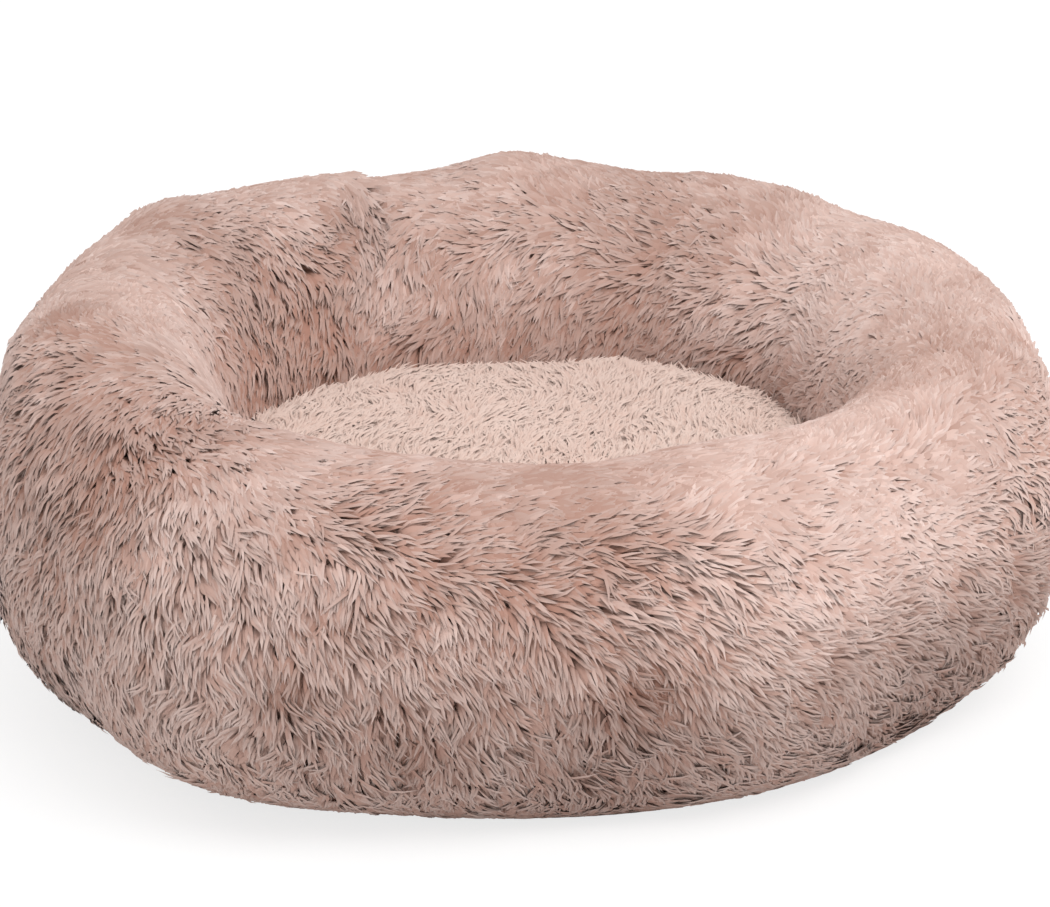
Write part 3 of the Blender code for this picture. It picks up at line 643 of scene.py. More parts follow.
def lock_shapes(paths, facing, widths, thicks):
    """The points of every lock, and the ways that they shade. A lock is many fibres
    that share the light, so it shades softer than one rod."""
    count, rings = len(paths), paths.shape[1] - 1
    along = unit(np.gradient(paths, axis=1))
    sideways = unit(np.cross(along, facing[:, None, :]))
    upward = np.cross(sideways, along)
    steps = np.arange(rings) / rings
    start, slope, curve = LOCK_TAPER
    taper = (start + slope * steps + curve * steps**2)[None, :, None]
    half = (widths[:, None, None] / 2) * taper
    left, up = sideways[:, :-1] * half, upward[:, :-1] * half * thicks[:, None, None]
    edges = np.stack([-left - up, left - up, up * RIDGE_SHARE], axis=2)
    around = paths[:, :-1, None] + edges
    points = np.concatenate([around.reshape(count, -1, 3), paths[:, -1:]], axis=1)
    rod = unit(edges) * (1.0 - FIBRE_SOFTNESS)
    soft = (rod + facing[:, None, None, :] * FIBRE_SOFTNESS).reshape(count, -1, 3)
    return points, unit(np.concatenate([soft, facing[:, None]], axis=1).reshape(-1, 3))


def locks_mesh(name, locks, chosen):
    """Pointed locks along their paths. How light each is goes on the mesh's maps, with
    the way from root to tip."""
    paths, facing, widths, thicks, shades, roots, tips = (part[chosen] for part in locks)
    count, rings = len(paths), paths.shape[1] - 1
    points, soft = lock_shapes(paths, facing, widths, thicks)
    per_lock = points.shape[1]
    faces = lock_faces(rings)
    lock_corners = np.concatenate(faces)
    corners = (np.arange(count)[:, None] * per_lock + lock_corners[None]).ravel()
    sizes = np.tile([len(face) for face in faces], count)
    mesh = bpy.data.meshes.new(name)
    mesh.vertices.add(count * per_lock)
    mesh.vertices.foreach_set("co", points.astype(np.float32).ravel())
    mesh.loops.add(len(corners))
    mesh.loops.foreach_set("vertex_index", corners.astype(np.int32))
    mesh.polygons.add(len(sizes))
    loop_starts = np.concatenate([[0], np.cumsum(sizes)[:-1]])
    mesh.polygons.foreach_set("loop_start", loop_starts.astype(np.int32))
    mesh.update(calc_edges=True)
    mesh.shade_smooth()
    # a lock takes a narrow upright strip of the map, a little way across it
    beside = np.append(np.tile([-1.0, 0.0, 1.0], rings), 0.0) * SHADE_HALF_WIDTH
    above = np.append(np.repeat(np.arange(rings) / rings, 3), 1.0)
    above[1] += ROOT_RISE  # or the root's own face would have no width there
    margin = 2 * SHADE_HALF_WIDTH
    across = margin + (1 - 2 * margin) * shades[:, None] + beside[lock_corners][None]
    up_map = roots[:, None] + (tips - roots)[:, None] * above[lock_corners][None]
    up_map = margin + (1 - 2 * margin) * up_map
    flat = np.stack([across, up_map], axis=-1).astype(np.float32).ravel()
    for map_name in (STRAND_MAP, BAKED_MAP):
        mesh.uv_layers.new(name=map_name).uv.foreach_set("vector", flat)
    mesh.normals_split_custom_set_from_vertices(soft.astype(np.float32))
    mesh.uv_layers[STRAND_MAP].active_render = True
    mesh.uv_layers.active = mesh.uv_layers[STRAND_MAP]
    return mesh


def pile_finish(name, dark, light):
    """Fur fibre: its colour runs from root to tip, between a dark and a light lock; the darker
    roots are partly painted shade.
    """
    made, tree, shader = shader_of(name, FIBRE_ROUGHNESS)
    place = tree.nodes.new("ShaderNodeUVMap")
    place.uv_map = STRAND_MAP
    parts = tree.nodes.new("ShaderNodeSeparateXYZ")
    joined(tree, place.outputs["UV"], parts.inputs["Vector"])
    blend = tree.nodes.new("ShaderNodeMix")
    blend.data_type = "RGBA"
    joined(tree, parts.outputs["X"], blend.inputs["Factor"])
    joined(tree, colour_ramp(tree, parts.outputs["Y"], dark), blend.inputs[6])
    joined(tree, colour_ramp(tree, parts.outputs["Y"], light), blend.inputs[7])
    joined(tree, blend.outputs[2], shader.inputs["Base Color"])
    shader.inputs["Specular IOR Level"].default_value = FIBRE_SPECULAR
    return made


def rooted(dice):
    """Where the locks are rooted, evenly over the rim: the angle and turn of each."""
    angle_edges = np.linspace(0.0, 2 * pi, RIM_CELLS[0] + 1)
    turn_edges = np.linspace(LOWEST_TURN, PILE_TOP_TURN, RIM_CELLS[1] + 1)
    angle, turn = np.meshgrid(angle_edges[:-1], turn_edges[:-1], indexing="ij")
    step_round, step_up = angle_edges[1], turn_edges[1] - turn_edges[0]
    here = laid(angle, turn)
    sides = laid(angle + step_round, turn) - here, laid(angle, turn + step_up) - here
    areas = np.linalg.norm(np.cross(*sides), axis=-1)
    row, column = scattered(areas, LOCKS_ON_RIM, dice)
    return row * step_round, turn_edges[0] + column * step_up


def combed(places, turn, low, dice, seed):
    """The heading that each lock was combed to, from the readings near it, and how
    ruffled the pile is there: where readings disagree its locks cross."""
    way = np.array(COMB_LEAN) * np.stack([np.ones_like(turn), np.cos(turn)], axis=-1)
    read = np.full(len(turn), COMB_LEAN[0])
    for at_angle, at_turn, heading in COMBED:
        near = felt(places, at_angle, at_turn, COMB_SPREAD)
        read += near
        way += near[:, None] * np.array([cos(radians(heading)), sin(radians(heading))])
    heading = np.arctan2(way[:, 1], way[:, 0])
    heading += drifted(places, seed + 1, HEADING_DRIFTS)
    ruffled = 1.0 - np.clip(np.linalg.norm(way, axis=-1) / read, 0.0, 1.0)
    scatter = HEADING_SCATTER + RUFFLED_SCATTER * ruffled**RUFFLED_POWER + LOW_SCATTER * low
    heading += dice.normal(0.0, 1.0, len(heading)) * scatter
    return heading, ruffled


def rim_shades(places, turn, calm, dice, seed):
    """How light each lock is, from 0 to 1: the pile's own tone and patches, with
    painted shade down the inner walls, at their foot and in folds, and painted light low
    on the outer walls.
    """
    shade = RIM_SHADE + drifted(places, seed + 5, SHADE_DRIFTS)
    on_walls, on_crest, size = FINE_SHADE_DRIFT
    shade += (on_walls + on_crest * calm) * drift(places, size, seed + 7)
    shade += dice.normal(0.0, SHADE_SCATTER, len(turn)) + CREST_PAINTED_SHADE * calm
    shade += INNER_FOOT_PAINTED_SHADE * np.clip((turn - INNER_FOOT_TURN) / INNER_FOOT_SPAN, 0.0, 1.0)
    for *where, more in PATCHES_AND_PAINTED_LIGHT:
        shade += more * felt(places, *where)
    return np.clip(shade, 0.0, 1.0)


def grow_rim_pile(seed):
    """Every lock of the rim: its path, what it faces, its width and thickness, its
    shade and where in the colours it starts and ends."""
    dice = np.random.default_rng(seed)
    angle, turn = rooted(dice)
    count = len(turn)
    places = laid(angle, turn)
    low = np.clip(-turn / LOW_SPAN, 0.0, 1.0)
    heading, ruffled = combed(places, turn, low, dice, seed)

    # near the floor the pile can't hang, and lies over sideways instead
    outward = np.sin(heading)
    room = np.clip((turn - LOWEST_TURN) / HANG_SPAN, LEAST_HANG, 1.0)
    outward = np.where(outward > 0, outward * room, outward)

    # a lock's way over the surface, bent a little
    reach = LOCK_REACH * dice.uniform(*REACH_SPREAD, count)
    nudged = laid(angle + NUDGE, turn), laid(angle, turn + NUDGE)
    per_angle, per_turn = (np.linalg.norm(there - places, axis=-1) / NUDGE for there in nudged)
    steps = np.linspace(0.0, 1.0, LOCK_RINGS + 1)[None, :]
    bend = (dice.normal(0.0, BEND_SCATTER, count) * (1.0 + LOW_BEND * low))[:, None] * steps
    gone = reach[:, None] * steps**WAY_POWER
    around = np.cos(heading)[:, None] - bend * outward[:, None]
    down = outward[:, None] + bend * np.cos(heading)[:, None]
    path_angle = angle[:, None] + gone * around / per_angle[:, None]
    path_turn = turn[:, None] - gone * down / per_turn[:, None]
    path_turn = np.maximum(path_turn, LOWEST_TURN - radians(2.0))

    # how deep it lies on its way; where locks cross they lie flat, or roots would show
    calm = np.maximum(calmness(places, turn), ruffled)
    relief = WALL_RELIEF + (CREST_RELIEF - WALL_RELIEF) * calm + LOW_RELIEF * low
    tip = dice.normal(*TIP_DEPTH, count) * relief
    tip = tip - drifted(places, seed + 3, TIP_DRIFTS) * relief
    strays = dice.uniform(size=count) < STRAY_SHARE
    tip = tip - strays * STRAY_HEIGHT * relief * dice.uniform(*STRAY_SPREAD, count)
    is_under = dice.uniform(size=count) < UNDER_SHARE
    tip = np.where(is_under, UNDER_DEPTH * dice.uniform(*UNDER_SPREAD, count) * relief, tip)
    lift = (1.0 - steps) ** (LIFT_POWER + (CREST_LIFT_POWER - LIFT_POWER) * calm)[:, None]
    depth = tip[:, None] + (PILE_DEPTH + ROOT_DEPTH - tip)[:, None] * lift
    follows = BACKING_FOLLOWS + (1.0 - BACKING_FOLLOWS) * (1.0 - lift)
    depth = depth - fullness(places)[:, None] * follows
    paths = laid(path_angle, path_turn, depth)

    # locks draw together in clumps, and clumps in tufts
    leaders = dice.choice(count, count // CLUMP_LOCKS, replace=False)
    pull = np.clip(dice.normal(*CLUMP_PULL, count) * relief, 0.0, MOST_PULL)
    paths = draw_together(paths, leaders, pull)
    leaders = dice.choice(count, count // TUFT_LOCKS, replace=False)
    paths = draw_together(paths, leaders, TUFT_PULL * relief * dice.uniform(size=count))
    paths[..., 2] = np.maximum(paths[..., 2], LEAST_HEIGHT)

    shades = rim_shades(places, turn, calm, dice, seed)
    widths = LOCK_WIDTH * dice.uniform(*WIDTH_SPREAD, count)
    widths = widths * (1.0 + (CREST_WIDTH_SHARE - 1.0) * calm)
    widths = np.where(is_under, widths * UNDER_WIDTH_SHARE, widths)
    thicks = LOCK_THICKNESS_SHARE + (CREST_THICKNESS_SHARE - LOCK_THICKNESS_SHARE) * calm
    under_tip = UNDER_TIP_SHARE + (CREST_UNDER_TIP_SHARE - UNDER_TIP_SHARE) * calm
    tips = np.where(is_under, under_tip, 1.0)
    facing = unit(places - ring_core(angle))
    return angle, (paths, facing, widths, thicks, shades, CREST_ROOT_SHARE * calm, tips)


rim_pile = pile_finish("long_pile_fur", DARK_LOCK, LIGHT_LOCK)
lock_angle, rim_locks = grow_rim_pile(seed=11)
lock_panel = ((np.degrees(lock_angle) - FIRST_SEAM) % 360.0 // 90.0).astype(int)
for index, side in enumerate(PANEL_SIDES):
    own = np.flatnonzero(lock_panel == index)
    own = own[np.argsort((lock_angle[own] - radians(FIRST_SEAM)) % (2 * pi))]
    parts = np.array_split(own, -(-len(own) // LOCKS_TO_A_PIECE))
    for number, part in enumerate(parts, start=1):
        name = "rim_fur_" + side + "_pile_" + str(number)
        mesh = locks_mesh(name, rim_locks, part)
        ride_on_bed(name, mesh, rim_pile)


# Sleeping surface: a round panel of the same fur, sewn in lower than the rim and
# crowned by the filling under it. Its pile is shorter, finer and lighter.
NEST_HEIGHT = 0.110
NEST_CROWN = 0.010
NEST_EDGE_DROP = 0.014
NEST_CLEARANCE = 0.0006
# Hollows pressed into it: place across and along, size, and depth of the crown
HOLLOW_SHARES = (
    (-0.25, -0.35, 0.45, 0.45),
    (0.35, -0.10, 0.35, 0.35),
    (0.05, 0.55, 0.30, 0.25),
)
PAD_PILE_DEPTH = 0.0060
PAD_STATIONS = 144
PAD_RINGS = 40
LOCKS_ON_PAD = 36000
PAD_LOCK_REACH = 0.0140
PAD_REACH_SPREAD = (0.7, 1.2)
PAD_LOCK_WIDTH = 0.0021
PAD_STRAY_HEIGHT = 0.0022
PAD_EDGE_STRAY_HEIGHT = 0.0060  # the same, against the rim's foot
PAD_UNDER_TIP_SHARE = 0.60
PAD_ROOT_SHARE = 0.35
PAD_LOCK_RINGS = 3
PAD_THICKNESS_SHARE = 0.45
PAD_HEADING = radians(72.0)  # combed towards the back, in plan
PAD_HEADING_DRIFTS = ((0.70, 0.11), (0.35, 0.03))
PAD_HEADING_SCATTER = 0.35
PAD_BEND_SCATTER = 0.30
PAD_CLUMP_PULL = (0.50, 0.20)
PAD_LIFT_POWER = 1.7
PAD_SHADE = 0.55
PAD_SHADE_DRIFTS = ((0.08, 0.06), (0.05, 0.015))
PAD_SHADE_SCATTER = 0.12
PAD_TIP_DEPTH = (-0.0002, 0.0009)
PAD_TIP_DRIFTS = ((0.0008, 0.014),)
PAD_UNDER_SPREAD = (0.5, 1.2)
PAD_EDGE_STRAY_SHARE = 0.30  # how many more stand out against the rim's foot
PAD_PIECES = 3
SEAM_POWER = 10  # how near the seam the pad drops
EDGE_POWER = 30  # how near the rim's foot its pile stands up
# Where its pile stands fuller: place across and along, size as shares, and height
FULLER_ON_PAD = (
    (0.42, 0.62, 0.38, 0.0085), (-0.55, 0.05, 0.30, 0.0035), (0.75, 0.0, 0.30, 0.0060),
)
EDGE_FILLED = 0.0080  # of the drop to the seam, by the pile round the edge
# colours from root to tip, of a dark lock and of a light one: the darker roots are partly painted
# shade, as on the rim
PAD_DARK_LOCK = (
    (0.00, (0.573, 0.345, 0.266)),
    (0.45, (0.702, 0.478, 0.398)),
    (1.00, (0.778, 0.584, 0.509)),
)
PAD_LIGHT_LOCK = (
    (0.00, (0.697, 0.465, 0.380)),
    (0.45, (0.788, 0.584, 0.504)),
    (1.00, (0.840, 0.672, 0.597)),
)

WALL_STATIONS = 361
wall = rim_surface(np.linspace(-pi, pi, WALL_STATIONS), np.full(WALL_STATIONS, pi))
wall_bearings = np.arctan2(wall[:, 1], wall[:, 0])
wall_order = np.argsort(wall_bearings)
WALL_BEARINGS = wall_bearings[wall_order]
WALL_RADII = (np.hypot(wall[:, 0], wall[:, 1]) - NEST_CLEARANCE)[wall_order]


def nest_radius(bearing):
    """How far the nest reaches, to the rim's inner wall."""
    return np.interp(bearing, WALL_BEARINGS, WALL_RADII, period=2 * pi)


def on_pad(x, y):
    """Each place's bearing, and its share of the way out to the rim's wall."""
    bearing = np.arctan2(y, x)
    return bearing, np.minimum(np.hypot(x, y) / nest_radius(bearing), 1.0)


def swell(bearing, share, across, along, size):
    """A round swelling of the pad, 1 at its middle and 0 far off."""
    apart = np.hypot(share * np.cos(bearing) - across, share * np.sin(bearing) - along)
    return np.exp(-((apart / size) ** 2))


def pad_top(x, y):
    """The height of the sleeping surface."""
    bearing, share = on_pad(x, y)
    height = SEAT + NEST_HEIGHT + NEST_CROWN * (1.0 - share**2)
    height = height - NEST_EDGE_DROP * share**SEAM_POWER
    for *where, depth in HOLLOW_SHARES:
        height = height - depth * NEST_CROWN * swell(bearing, share, *where)
    return height


def pile_top(x, y):
    """The height that the laid pile of the sleeping surface reaches."""
    bearing, share = on_pad(x, y)
    height = pad_top(x, y) + EDGE_FILLED * share**SEAM_POWER
    for *where, fuller in FULLER_ON_PAD:
        height = height + fuller * swell(bearing, share, *where)
    return height


def grow_pad_pile(seed):
    """Every lock of the pad, as on the rim."""
    dice = np.random.default_rng(seed)
    count = LOCKS_ON_PAD
    bearing = dice.uniform(-pi, pi, count)
    share = np.sqrt((np.arange(count) + dice.uniform(size=count)) / count)
    radius = nest_radius(bearing) * share
    x, y = radius * np.cos(bearing), radius * np.sin(bearing)
    flat = np.stack([x, y, np.zeros_like(x)], axis=-1)
    heading = PAD_HEADING + drifted(flat, seed + 1, PAD_HEADING_DRIFTS)
    heading += dice.normal(0.0, PAD_HEADING_SCATTER, count)
    steps = np.linspace(0.0, 1.0, PAD_LOCK_RINGS + 1)[None, :]
    gone = PAD_LOCK_REACH * dice.uniform(*PAD_REACH_SPREAD, count)[:, None] * steps**WAY_POWER
    bend = heading[:, None] + dice.normal(0.0, PAD_BEND_SCATTER, count)[:, None] * steps
    path_x = x[:, None] + gone * np.cos(bend)
    path_y = y[:, None] + gone * np.sin(bend)
    tip = dice.normal(*PAD_TIP_DEPTH, count) - drifted(flat, seed + 3, PAD_TIP_DRIFTS)
    near_edge = share**EDGE_POWER
    strays = dice.uniform(size=count) < STRAY_SHARE + PAD_EDGE_STRAY_SHARE * near_edge
    height = PAD_STRAY_HEIGHT + (PAD_EDGE_STRAY_HEIGHT - PAD_STRAY_HEIGHT) * near_edge
    tip = tip - strays * height * dice.uniform(*STRAY_SPREAD, count)
    is_under = dice.uniform(size=count) < UNDER_SHARE
    tip = np.where(is_under, UNDER_DEPTH * dice.uniform(*PAD_UNDER_SPREAD, count), tip)
    thick = PAD_PILE_DEPTH + pile_top(x, y) - pad_top(x, y)
    depth = tip[:, None] + (thick - tip)[:, None] * (1.0 - steps) ** PAD_LIFT_POWER
    paths = np.stack([path_x, path_y, pile_top(path_x, path_y) - depth], axis=-1)
    leaders = dice.choice(count, count // CLUMP_LOCKS, replace=False)
    pull = np.clip(dice.normal(*PAD_CLUMP_PULL, count), 0.0, MOST_PULL)
    paths = draw_together(paths, leaders, pull)
    shades = PAD_SHADE + drifted(flat, seed + 4, PAD_SHADE_DRIFTS)
    shades = np.clip(shades + dice.normal(0.0, PAD_SHADE_SCATTER, count), 0.0, 1.0)
    widths = PAD_LOCK_WIDTH * dice.uniform(*WIDTH_SPREAD, count)
    widths = np.where(is_under, widths * UNDER_WIDTH_SHARE, widths)
    tips = np.where(is_under, PAD_UNDER_TIP_SHARE, 1.0)
    facing = np.tile([0.0, 0.0, 1.0], (count, 1))
    thicks, roots = (np.full(count, one) for one in (PAD_THICKNESS_SHARE, PAD_ROOT_SHARE))
    return y, (paths, facing, widths, thicks, shades, roots, tips)


pad_shares = np.linspace(0.0, 1.0, PAD_RINGS + 1)[1:]
pad_angles = np.linspace(0.0, 2 * pi, PAD_STATIONS, endpoint=False)
pad_grid = np.meshgrid(pad_angles, pad_shares, indexing="ij")
pad_radii = nest_radius(pad_grid[0]) * pad_grid[1]
pad_x, pad_y = pad_radii * np.cos(pad_grid[0]), pad_radii * np.sin(pad_grid[0])


def pad_disc(name, drops):
    """A closed disc between two depths under the sleeping surface."""
    points, faces = [], []
    for drop in drops:
        heights = pad_top(pad_x, pad_y) - drop
        points.append([[0.0, 0.0, float(pad_top(np.zeros(1), np.zeros(1))[0]) - drop]])
        points.append(np.stack([pad_x, pad_y, heights], axis=-1).reshape(-1, 3))
    per_skin = 1 + PAD_STATIONS * PAD_RINGS

    def corner(skin, station, ring):
        """The number of a point outside the middle."""
        return skin * per_skin + 1 + station % PAD_STATIONS * PAD_RINGS + ring

    for skin in (0, 1):
        for station in range(PAD_STATIONS):
            ends = [corner(skin, station, 0), corner(skin, station + 1, 0)]
            faces.append((skin * per_skin, *(ends if skin == 0 else reversed(ends))))
            for ring in range(PAD_RINGS - 1):
                face = [
                    corner(skin, station, ring),
                    corner(skin, station, ring + 1),
                    corner(skin, station + 1, ring + 1),
                    corner(skin, station + 1, ring),
                ]
                faces.append(tuple(face if skin == 0 else reversed(face)))
    for station in range(PAD_STATIONS):
        last = PAD_RINGS - 1
        faces.append((
            corner(0, station, last),
            corner(1, station, last),
            corner(1, station + 1, last),
            corner(0, station + 1, last),
        ))
    mesh = bpy.data.meshes.new(name)
    mesh.from_pydata(np.concatenate(points).tolist(), [], faces)
    mesh.shade_smooth()
    return mesh


pad_skins = (PAD_PILE_DEPTH, PAD_PILE_DEPTH + BACKING_THICKNESS)
pad_mesh = pad_disc("centre_fur_panel_backing", pad_skins)
pad_backing = ride_on_bed("centre_fur_panel_backing", pad_mesh, backing)
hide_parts("centre_fur_panel")

pad_pile = pile_finish("short_pile_fur", PAD_DARK_LOCK, PAD_LIGHT_LOCK)
lock_y, pad_locks = grow_pad_pile(seed=41)
for number, own in enumerate(np.array_split(np.argsort(lock_y), PAD_PIECES), start=1):
    name = "centre_fur_panel_pile_" + str(number)
    mesh = locks_mesh(name, pad_locks, own)
    ride_on_bed(name, mesh, pad_pile)


# Inner bags: the rim and the pad are each a bag of thin nonwoven lining, stuffed with
# fibre through a slit, which the cover is then drawn over. The lining is drawn into
# shallow wrinkles where the fibre behind it shifts.
LINING_DARK = (0.620, 0.610, 0.580)
LINING_LIGHT = (0.750, 0.740, 0.710)
BAG_EDGE = 0.011  # the longest edge left in a bag's mesh
WRINKLE = 0.0009
WRINKLE_SIZE = 0.05
WAVE_SHARE = 0.6  # how uneven the wrinkles and lumps are
STILL_BELOW = 0.020  # lower than this the pad's bag lies flat and doesn't wrinkle


def turned_out(mesh):
    """Turns a closed mesh's faces to point out, and shades it smooth."""
    work = bmesh.new()
    work.from_mesh(mesh)
    bmesh.ops.recalc_face_normals(work, faces=work.faces)
    work.to_mesh(mesh)
    work.free()
    mesh.shade_smooth()
    mesh.set_sharp_from_angle(angle=radians(40.0))
    return mesh


def finer_copy(name, solid, longest):
    """A solid's mesh again, split until no edge is longer than this."""
    work = bmesh.new()
    work.from_mesh(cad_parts[solid].data)
    bmesh.ops.remove_doubles(work, verts=work.verts, dist=1e-6)
    bmesh.ops.triangulate(work, faces=work.faces)
    too_long = [edge for edge in work.edges if edge.calc_length() > longest]
    while too_long:
        bmesh.ops.subdivide_edges(work, edges=too_long, cuts=1)
        bmesh.ops.triangulate(work, faces=[f for f in work.faces if len(f.verts) > 3])
        too_long = [edge for edge in work.edges if edge.calc_length() > longest]
    mesh = bpy.data.meshes.new(name)
    work.to_mesh(mesh)
    work.free()
    return mesh


def shifted(mesh, shift):
    """Moves every point of a mesh by a function of its place."""
    flat = np.empty(len(mesh.vertices) * 3)
    mesh.vertices.foreach_get("co", flat)
    points = flat.reshape(-1, 3)
    mesh.vertices.foreach_set("co", (points + shift(points)).ravel())
    mesh.update()
    return turned_out(mesh)


def into_rim(depth, size, seed):
    """Sinks a point of the rim's inside towards the middle of the ring's section, by
    up to twice a depth."""
    def shift(points):
        """How far each point moves."""
        bearing = np.arctan2(points[:, 1] + RING_MIDDLE[1], points[:, 0] + RING_MIDDLE[0])
        inward = unit(ring_core(bearing) - points)
        waves = np.clip(1.0 + WAVE_SHARE * drift(points, size, seed), 0.0, 2.0)
        return inward * (depth * waves)[:, None]
    return shift


def into_pad(depth, size, seed):
    """Sinks a point of the pad's inside down and inward, by up to twice a depth."""
    def shift(points):
        """How far each point moves."""
        free = np.clip((points[:, 2] - STILL_BELOW) / STILL_BELOW, 0.0, 1.0)
        radius = np.hypot(points[:, 0], points[:, 1])
        outward = points[:, :2] / np.maximum(radius, 1e-6)[:, None]
        near_wall = np.clip(radius / nest_radius(np.arctan2(points[:, 1], points[:, 0])), 0, 1) ** 8
        waves = np.clip(1.0 + WAVE_SHARE * drift(points, size, seed), 0.0, 2.0) * free * depth
        sideways = -outward * (waves * near_wall)[:, None]
        return np.concatenate([sideways, -waves[:, None]], axis=-1)
    return shift


def lining_finish():
    """Nonwoven lining: felted fibres, pressed together at a grid of small points."""
    made, tree, shader = shader_of("nonwoven_lining", 0.88)
    fibres = pattern(tree, "Noise", 420.0, stretch=(1.0, 0.35, 1.0), Detail=6.0)
    pressed = pattern(tree, "Voronoi", 480.0, Randomness=0.15)
    coloured(tree, shader, fibres, ((0.30, LINING_DARK), (0.70, LINING_LIGHT)))
    raised(tree, shader, pressed, 0.00025)
    return made


def inside_piece(name, solid, sink, finish):
    """A soft piece inside the bed: its solid's mesh made finer and sunk in places."""
    mesh = shifted(finer_copy(name, solid, BAG_EDGE), sink)
    piece = ride_on_bed(name, mesh, finish)
    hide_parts(solid)


lining = lining_finish()
wrinkles = into_rim(WRINKLE, WRINKLE_SIZE, 61)
inside_piece("rim_liner_bag", "rim_liner", wrinkles, lining)
wrinkles = into_pad(WRINKLE, WRINKLE_SIZE, 62)
inside_piece("centre_liner_bag", "centre_liner", wrinkles, lining)


# Filling: loose white polyester fibre, blown into the bags. It settles in soft lumps a
# few centimetres across.
FIBRE_DARK = (0.780, 0.780, 0.770)
FIBRE_LIGHT = (0.900, 0.900, 0.890)
LUMP_DEPTH = 0.0022
LUMP_SIZE = 0.045

# crimped fibre: curled strands over soft lumps
fibre = grained_finish(
    "polyester_fibre",
    roughness=1.0,
    kind="Noise",
    scale=260.0,
    stops=((0.30, FIBRE_DARK), (0.65, FIBRE_LIGHT)),
    relief=0.0012,
    Detail=8.0,
    Distortion=2.5,
)
lumps = into_rim(LUMP_DEPTH, LUMP_SIZE, 63)
inside_piece("rim_fibre_lumps", "rim_fibre_fill", lumps, fibre)
lumps = into_pad(LUMP_DEPTH, LUMP_SIZE, 64)
inside_piece("centre_fibre_lumps", "centre_fibre_fill", lumps, fibre)


# Base cloth: two half rounds of brown oxford cloth with a coated back, which close the
# bed underneath. Each has a long notch in its straight edge for the zip's recess, and
# sags a little between the grip dots that it stands on.
FIT = 0.0003
CLOTH_THICKNESS = 0.0010
CLOTH_BOTTOM = 0.0015
CLOTH_TOP = CLOTH_BOTTOM + CLOTH_THICKNESS
CLOTH_SAG = 0.0004
FLAT_BY_SEAM = 0.02  # how far from a seam the cloth is free to sag
FLAT_BY_NOTCH = 0.01
CLOTH_EDGE = 0.006  # the longest edge left in the cloth's mesh
BINDING = 0.0008  # how thick the strip is that lines the recess
ARC_STEPS = 180
DOT_RADIUS = 0.0045
DOT_PITCH = 0.036
DOT_MARGIN = 0.008
OXFORD_DARK = (0.120, 0.088, 0.073)
OXFORD_LIGHT = (0.290, 0.225, 0.195)
OXFORD_THREAD = 0.0009
tape_low, tape_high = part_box("zip_tape_rear")
BASE_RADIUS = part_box("base_cloth_rear")[1][0]
RECESS_HALF = tape_high[0] + FIT
RECESS_SIDE = tape_high[1] + FIT
SIDES = (("front", -1), ("rear", 1))


def dot_places(side):
    """Where the grip dots lie on one half: staggered rows, clear of all edges."""
    clear = DOT_RADIUS + DOT_MARGIN
    row_step = DOT_PITCH * sqrt(3.0) / 2
    reach = int(BASE_RADIUS / DOT_PITCH) + 2
    places = []
    for row in range(int(BASE_RADIUS / row_step) + 1):
        y = side * (RECESS_SIDE + clear + row * row_step)
        for column in range(-reach, reach + 1):
            x = (column + 0.5 * (row % 2)) * DOT_PITCH
            if np.hypot(x, y) < BASE_RADIUS - clear:
                places.append((x, y))
    return np.array(places)


def half_round(side):
    """The outline of one half of the base cloth, notched for the recess."""
    start = FIT / 2 / BASE_RADIUS
    arc = np.linspace(start, pi - start, ARC_STEPS + 1)
    outline = [(BASE_RADIUS * cos(a), side * BASE_RADIUS * sin(a)) for a in arc]
    notch, depth, edge = RECESS_HALF + BINDING, side * (RECESS_SIDE + BINDING), side * FIT / 2
    outline += [(-notch, edge), (-notch, depth), (notch, depth), (notch, edge)]
    outline = np.array(outline)
    split = []
    for start, end in zip(outline, np.roll(outline, -1, axis=0)):
        pieces = int(np.ceil(np.linalg.norm(end - start) / CLOTH_EDGE))
        split += [start + (end - start) * step / pieces for step in range(pieces)]
    return split if side > 0 else split[::-1]


def inside_half(side):
    """Points of a lattice that lie well inside one half."""
    clear = CLOTH_EDGE / 2
    count = int(BASE_RADIUS / CLOTH_EDGE)
    row, column = np.meshgrid(np.arange(1, 1.2 * count), np.arange(-count, count + 1))
    x = (column + row % 2 / 2) * CLOTH_EDGE
    y = row * CLOTH_EDGE * sqrt(3.0) / 2
    in_notch = (np.abs(x) < RECESS_HALF + BINDING + clear) & (y < RECESS_SIDE + BINDING + clear)
    kept = (np.hypot(x, y) < BASE_RADIUS - clear) & ~in_notch
    return list(np.stack([x[kept], side * y[kept]], axis=-1))


def sagged(plan, dots):
    """How far the cloth hangs below its seams at each place, between the dots."""
    apart = np.linalg.norm(plan[:, None] - dots[None], axis=-1).min(axis=1)
    share = np.clip((apart - DOT_RADIUS) / (DOT_PITCH / 2), 0.0, 1.0) ** 2
    from_seam = np.clip((BASE_RADIUS - np.hypot(plan[:, 0], plan[:, 1])) / FLAT_BY_SEAM, 0.0, 1.0)
    from_notch = np.clip((np.abs(plan[:, 1]) - RECESS_SIDE - BINDING) / FLAT_BY_NOTCH, 0.0, 1.0)
    return CLOTH_SAG * share * from_seam * from_notch


